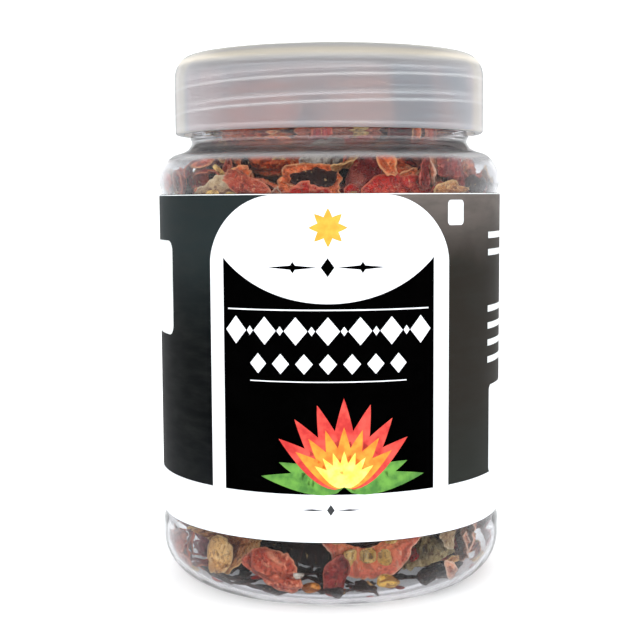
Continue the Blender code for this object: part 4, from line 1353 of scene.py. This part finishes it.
class Pile:
    """What lies in the jar, so that more pieces find room among it."""

    def __init__(self, pieces):
        self.base = BVHTree.FromPolygons(*gathered(piece.data for piece in pieces))
        self.added = []

    def room(self, points, quads, press=0.0):
        """Whether a piece fits. It may be pressed flatter by the jar's wall by so much."""
        if np.abs(keep_inside(points.copy(), 0.3 * MM) - points).max() > press + 1e-7:
            return False
        tree = BVHTree.FromPolygons(points.tolist(), quads.tolist())
        if self.base.overlap(tree):
            return False
        centre, reach = span(points)
        for other_centre, other_reach, other in self.added:
            near = np.linalg.norm(centre - other_centre) < reach + other_reach
            if near and other.overlap(tree):
                return False
        nearest, normal, _, _ = self.base.find_nearest(Vector(centre))
        return (Vector(centre) - nearest).dot(normal) > 0

    def slide(self, points, quads, step, most, press=0.0):
        """Moves points by steps for as long as there is room."""
        for _ in range(most):
            if not self.room(points + step, quads, press):
                break
            points = points + step
        return points

    def add(self, points, quads):
        self.added.append((*span(points), BVHTree.FromPolygons(points.tolist(), quads.tolist())))


# Where more flakes are tried: trials, sizes, heights and distances from the axis in mm, degrees
# from the front to either side, and how they lie
ZONES = (
    (1500, (4, 8), (1.5, 5), (13, 33), (0, 75), "level"),
    (800, (5, 10), (1.6, 6), (3, 31), (0, 180), "flat"),
    (600, (8, 14), (3, 14), (17, 25), (0, 180), "upright"),
    (160, (11, 19), (6, 22), (2, 24), (0, 180), "any"),
    (400, (8, 15), (4, 17), (24, 34), (0, 180), "wall"),
    (500, (7, 13), (4, 17), (22, 34), (0, 180), "any"),
    (700, (4, 8), (2, 15), (24, 34), (0, 180), "wall"),
    (500, (9, 16), (80, 104), (2, 23), (0, 180), "any"),
    (500, (8, 15), (82, 104), (20, 34), (0, 180), "wall"),
    (700, (7, 13), (82, 102), (20, 34), (0, 180), "any"),
    (600, (5, 9), (81, 91), (25, 34.4), (35, 110), "wall"),
    (500, (5, 9), (81, 91), (18, 33), (50, 120), "any"),
    (900, (4, 9), (80, 100), (22, 34.4), (0, 180), "wall"),
)
# How flat a flake is that lies level or flat, where 1 is any other
FLATNESS = {"level": 6.0, "flat": 3.0}

# Colours of the flakes and how often each comes
FLAKE_CHANCES = {
    "dark_red": 0.17, "orange_red": 0.24, "brown_red": 0.18, "deep_red": 0.12, "maroon": 0.08,
    "pinkish_tan": 0.09, "tan_brown": 0.06, "pale_pith": 0.02, "black_red": 0.04,
}
RIGHT_COLOURS = ("grey_tan", "tan_brown", "pinkish_tan", "brown_red")
LEFT_COLOURS = ("purple_red", "maroon", "dark_red")


def hides_front(points):
    """Whether any point lies among the large pieces at the foot of the front, or before them."""
    x, y, z = points.T
    at_front = np.abs(np.degrees(np.arctan2(x, -y)) + 9) < 44
    near_wall = np.hypot(x, y) > 25.2 * MM
    return (at_front & near_wall & (z > FLOOR_PIECES_TOP) & (z < 15.5 * MM)).any()


def flake_colour(rng, centre):
    """A colour for a flake. At the foot of the front it follows the place: near-black flakes away from
    the wall and on the floor there are painted shade, and the sides get the colours they show.
    """
    x, y, z = centre
    turn = math.degrees(math.atan2(x, -y))
    if abs(turn) < 78 and z < 18 * MM:
        # Painted shade: near-black flakes behind the front pieces and on the floor before them
        if math.hypot(x, y) < 26 * MM or z < FLOOR_PIECES_TOP and abs(turn) < 60:
            return "black_red"
        if turn > 30:
            return RIGHT_COLOURS[rng.integers(len(RIGHT_COLOURS))]
        if turn < -50:
            return LEFT_COLOURS[rng.integers(len(LEFT_COLOURS))]
    return list(FLAKE_CHANCES)[rng.choice(len(FLAKE_CHANCES), p=list(FLAKE_CHANCES.values()))]


def flake_turn(rng, out, lies):
    """A turn for a flake: any, or with its face up or down where it lies flat, or out or in."""
    if lies == "any":
        return np.linalg.qr(rng.normal(size=(3, 3)))[0]
    facing = np.array([0.0, 0.0, 1.0]) if lies in FLATNESS else out
    face = facing * rng.choice((-1, 1)) + rng.normal(0, 0.08 if lies == "level" else 0.22, 3)
    face /= np.linalg.norm(face)
    spin = rng.normal(size=3)
    across = np.cross(face, spin)
    across /= np.linalg.norm(across)
    return np.column_stack([np.cross(across, face), across, face])


def fill_gaps(pieces, looks, rng):
    """Torn flakes in the gaps of the fill that the clear windows show."""
    pile = Pile(pieces)
    kinds = {name: Scatter() for name in (*FLAKE_CHANCES, "grey_tan", "purple_red")}
    down = np.array([0, 0, -0.5 * MM])
    for trials, sizes, heights, radii, ways, lies in ZONES:
        by_wall = lies == "wall"
        press = 1.1 * MM if by_wall else 0.0
        quad_size = (0.8 if by_wall else 1.3) * MM
        for _ in range(trials):
            flake = Flake(rng, rng.uniform(*sizes) * MM, FLATNESS.get(lies, 1.0))
            azimuth = FRONT + math.radians(rng.uniform(*ways)) * rng.choice((-1, 1))
            radius = rng.uniform(*radii) * MM
            out = np.array([math.cos(azimuth), math.sin(azimuth), 0.0])
            turn = flake_turn(rng, out, lies)
            rough, quads = flake.grid(6)
            placed = rough @ turn.T + (out * radius + np.array([0, 0, rng.uniform(*heights) * MM]))
            if hides_front(placed) or not pile.room(placed, quads, press):
                continue
            moves = [(out * 0.5 * MM, 24), (down, 30), (out * 0.3 * MM, 14)] if by_wall else [(down, 30)]
            for step, most in moves:
                placed = pile.slide(placed, quads, step, most, press)
            if hides_front(placed):
                continue
            pile.add(placed, quads)
            centre = placed.mean(axis=0)
            points, quads = flake.grid(int(np.clip(flake.length / quad_size, 7, 18)))
            colour = flake_colour(rng, centre)
            slot = "pith" if colour == "pale_pith" else "skin"
            sheet = dress_sheet(points @ turn.T + centre, quads, rim_edges(quads), slot, flake.shift)
            kinds[colour].add(sheet["mesh_points"], sheet["faces"].tolist(), sheet["values"])
    build_kinds(kinds, "flakes_", looks)


def resting_places():
    """What things can lie on: the dried pieces so far and the jar's floor and lower wall."""
    made = [o for o in bpy.data.objects if o.name.endswith("_fine") or o.name.startswith("flakes")]
    points, faces = gathered(piece.data for piece in made)
    profile = np.array([row for row in jar_inner_profile() if row[1] < 30 * MM])
    turns = np.linspace(0, 2 * math.pi, 96, endpoint=False)
    faces += ring_quads(len(profile), len(turns), len(points))
    points += rings(profile[:, :1], profile[:, 1:], turns).reshape(-1, 3).tolist()
    return BVHTree.FromPolygons(points, faces)


def make_fill(nodes):
    rng = np.random.default_rng(815)
    noise.seed_set(815)
    looks = {}
    for name, tones in DRIED_COLOURS.items():
        looks[name] = dried_look("dried_" + name, *tones, 0.5 if name == "coral" else 0.9)
    pieces = {name: nodes[name] for name in sorted(nodes) if name not in SHELLS}
    sheets = {}
    for name, node in pieces.items():
        colour = PIECE_COLOURS.get(name) or OTHER_COLOURS[rng.integers(len(OTHER_COLOURS))]
        low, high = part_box(name)
        farthest = max(abs(low.x), abs(low.y), abs(high.x), abs(high.y))
        in_window = low.z < LOW_WINDOW_TOP or high.z > HIGH_WINDOW_BOTTOM
        seen = farthest > DEEPEST_SEEN and in_window
        slot = SLOTS.get(name.split("_")[0], "skin")
        if name.startswith(("whole_pod", "stem_end", "crumb")):
            fine_solid(name, node, slot, 3 if seen else 2, looks[colour], rng)
        else:
            level = 4 if name in FINEST else 3 if seen else 2
            sheets[name] = fine_sheet(name, node, slot, level, looks[colour], rng)
    fill_gaps(pieces.values(), looks, rng)
    tree = resting_places()
    seat_seeds(sheets, tree, looks["seed"], rng)
    drop_bits(tree, looks, rng)
    lean_husk(looks["pale_pith"], rng)


# Studio


# Lamps: degrees right of the front, height and distance in metres, size and power
SOFTBOXES = (
    ("front", -28, 0.44, 0.55, (0.4, 0.24), 2.0),
    ("right", 70, 0.34, 0.55, (0.3, 0.24), 0.8),
    ("top", 160, 0.8, 0.25, (0.5, 0.5), 0.9),
    ("low", 14, 0.16, 0.62, (0.3, 0.2), 1.5),
)
CAMERA_DISTANCE = 276.2 * MM
CAMERA_HEIGHT = 80.6 * MM
CAMERA_PITCH = 5.43


def make_stage():
    """A plain round floor that bends up into a plain backdrop on all sides."""
    look = Look("stage")
    tone = look.mix(look.noise(120.0, 2.0), srgb(246, 247, 248), srgb(250, 250, 250))
    glow = look.spread(look.ramp(look.part(look.place, 1), -350.0, 250.0), 0.1, 0.33)
    inputs = {
        "Base Color": tone, "Roughness": 0.7, "Emission Color": (1, 1, 1, 1), "Emission Strength": glow,
    }
    bend_turns = np.radians(np.linspace(6, 90, 15))
    bend_rows = [(0.75 + 0.35 * math.sin(t), 0.35 - 0.35 * math.cos(t)) for t in bend_turns]
    rise = np.array([(0.2, 0.0), (0.75, 0.0), *bend_rows, (1.1, 1.0)])
    around = 96
    turns = np.arange(around) * 2 * math.pi / around
    points = rings(rise[:, :1], rise[:, 1:], turns).reshape(-1, 3)
    faces = [range(around), *(quad[::-1] for quad in ring_quads(len(rise), around))]
    stage = link_mesh(mesh_from("stage", points, faces), look.finish(look.plastic(inputs)))


def add_softbox(name, azimuth, height, distance, size, power):
    """A soft lamp that faces the jar, so many degrees right of the front. It leaves no reflection."""
    data = bpy.data.lights.new(name, "AREA")
    data.shape = "RECTANGLE"
    data.size, data.size_y = size
    data.energy = power
    lamp = bpy.data.objects.new(name, data)
    turn = FRONT + math.radians(azimuth)
    lamp.location = (distance * math.cos(turn), distance * math.sin(turn), height)
    way = Vector((0, 0, 0.06)) - lamp.location
    lamp.rotation_euler = way.to_track_quat("-Z", "Y").to_euler()
    lamp.visible_glossy = False
    lamp.visible_transmission = False
    bpy.context.scene.collection.objects.link(lamp)


def make_studio():
    world = bpy.data.worlds.new("studio")
    sky = Look("studio", world)
    height = sky.part(sky.add("ShaderNodeTexCoord").outputs["Generated"], 2)
    inputs = {"Value": height, "From Min": -0.1, "From Max": 0.9, "To Min": 0.34, "To Max": 0.6}
    strength = sky.add("ShaderNodeMapRange", inputs, interpolation_type="SMOOTHSTEP").outputs[0]
    background = sky.add("ShaderNodeBackground", {"Color": srgb(250, 252, 255), "Strength": strength})
    sky.add("ShaderNodeOutputWorld", {"Surface": background.outputs[0]})
    bpy.context.scene.world = world
    for name, *placing in SOFTBOXES:
        add_softbox("softbox_" + name, *placing)
    bpy.context.scene.view_settings.view_transform = "Standard"


def make_camera():
    data = bpy.data.cameras.new("camera")
    data.lens = 71.62
    data.sensor_width = 36.0
    data.clip_start = 0.01
    camera = bpy.data.objects.new("camera", data)
    camera.matrix_world = (
        Matrix.Translation((0, -CAMERA_DISTANCE, CAMERA_HEIGHT))
        @ Matrix.Rotation(math.radians(0.45), 4, "Z")
        @ Matrix.Rotation(math.radians(90 - CAMERA_PITCH), 4, "X")
        @ Matrix.Rotation(math.radians(-0.31), 4, "Z")
    )
    bpy.context.scene.collection.objects.link(camera)
    bpy.context.scene.camera = camera


def main():
    for item in list(bpy.data.objects):
        bpy.data.objects.remove(item)
    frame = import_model()
    make_camera()
    make_studio()
    make_stage()
    profile = bead(jar_outer_profile()) + jar_inner_profile()
    thread = (NECK_THREAD, NECK_RADIUS)
    shell = turned("jar_shell", profile, clear_look(), "clear", "jar_body", *thread)
    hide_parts("jar")
    thread = (CAP_THREAD, CAP_BORE)
    cap = turned("cap_shell", cap_profile(), frosted_look(), "frosted", "cap_body", *thread)
    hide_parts("cap")
    liner = turned("liner_disc", liner_profile(), foam_look(), "foam", "liner_body")
    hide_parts("cap_liner")
    make_label_film(film_look())
    make_label_print()
    make_fill(frame["nodes"])


main()
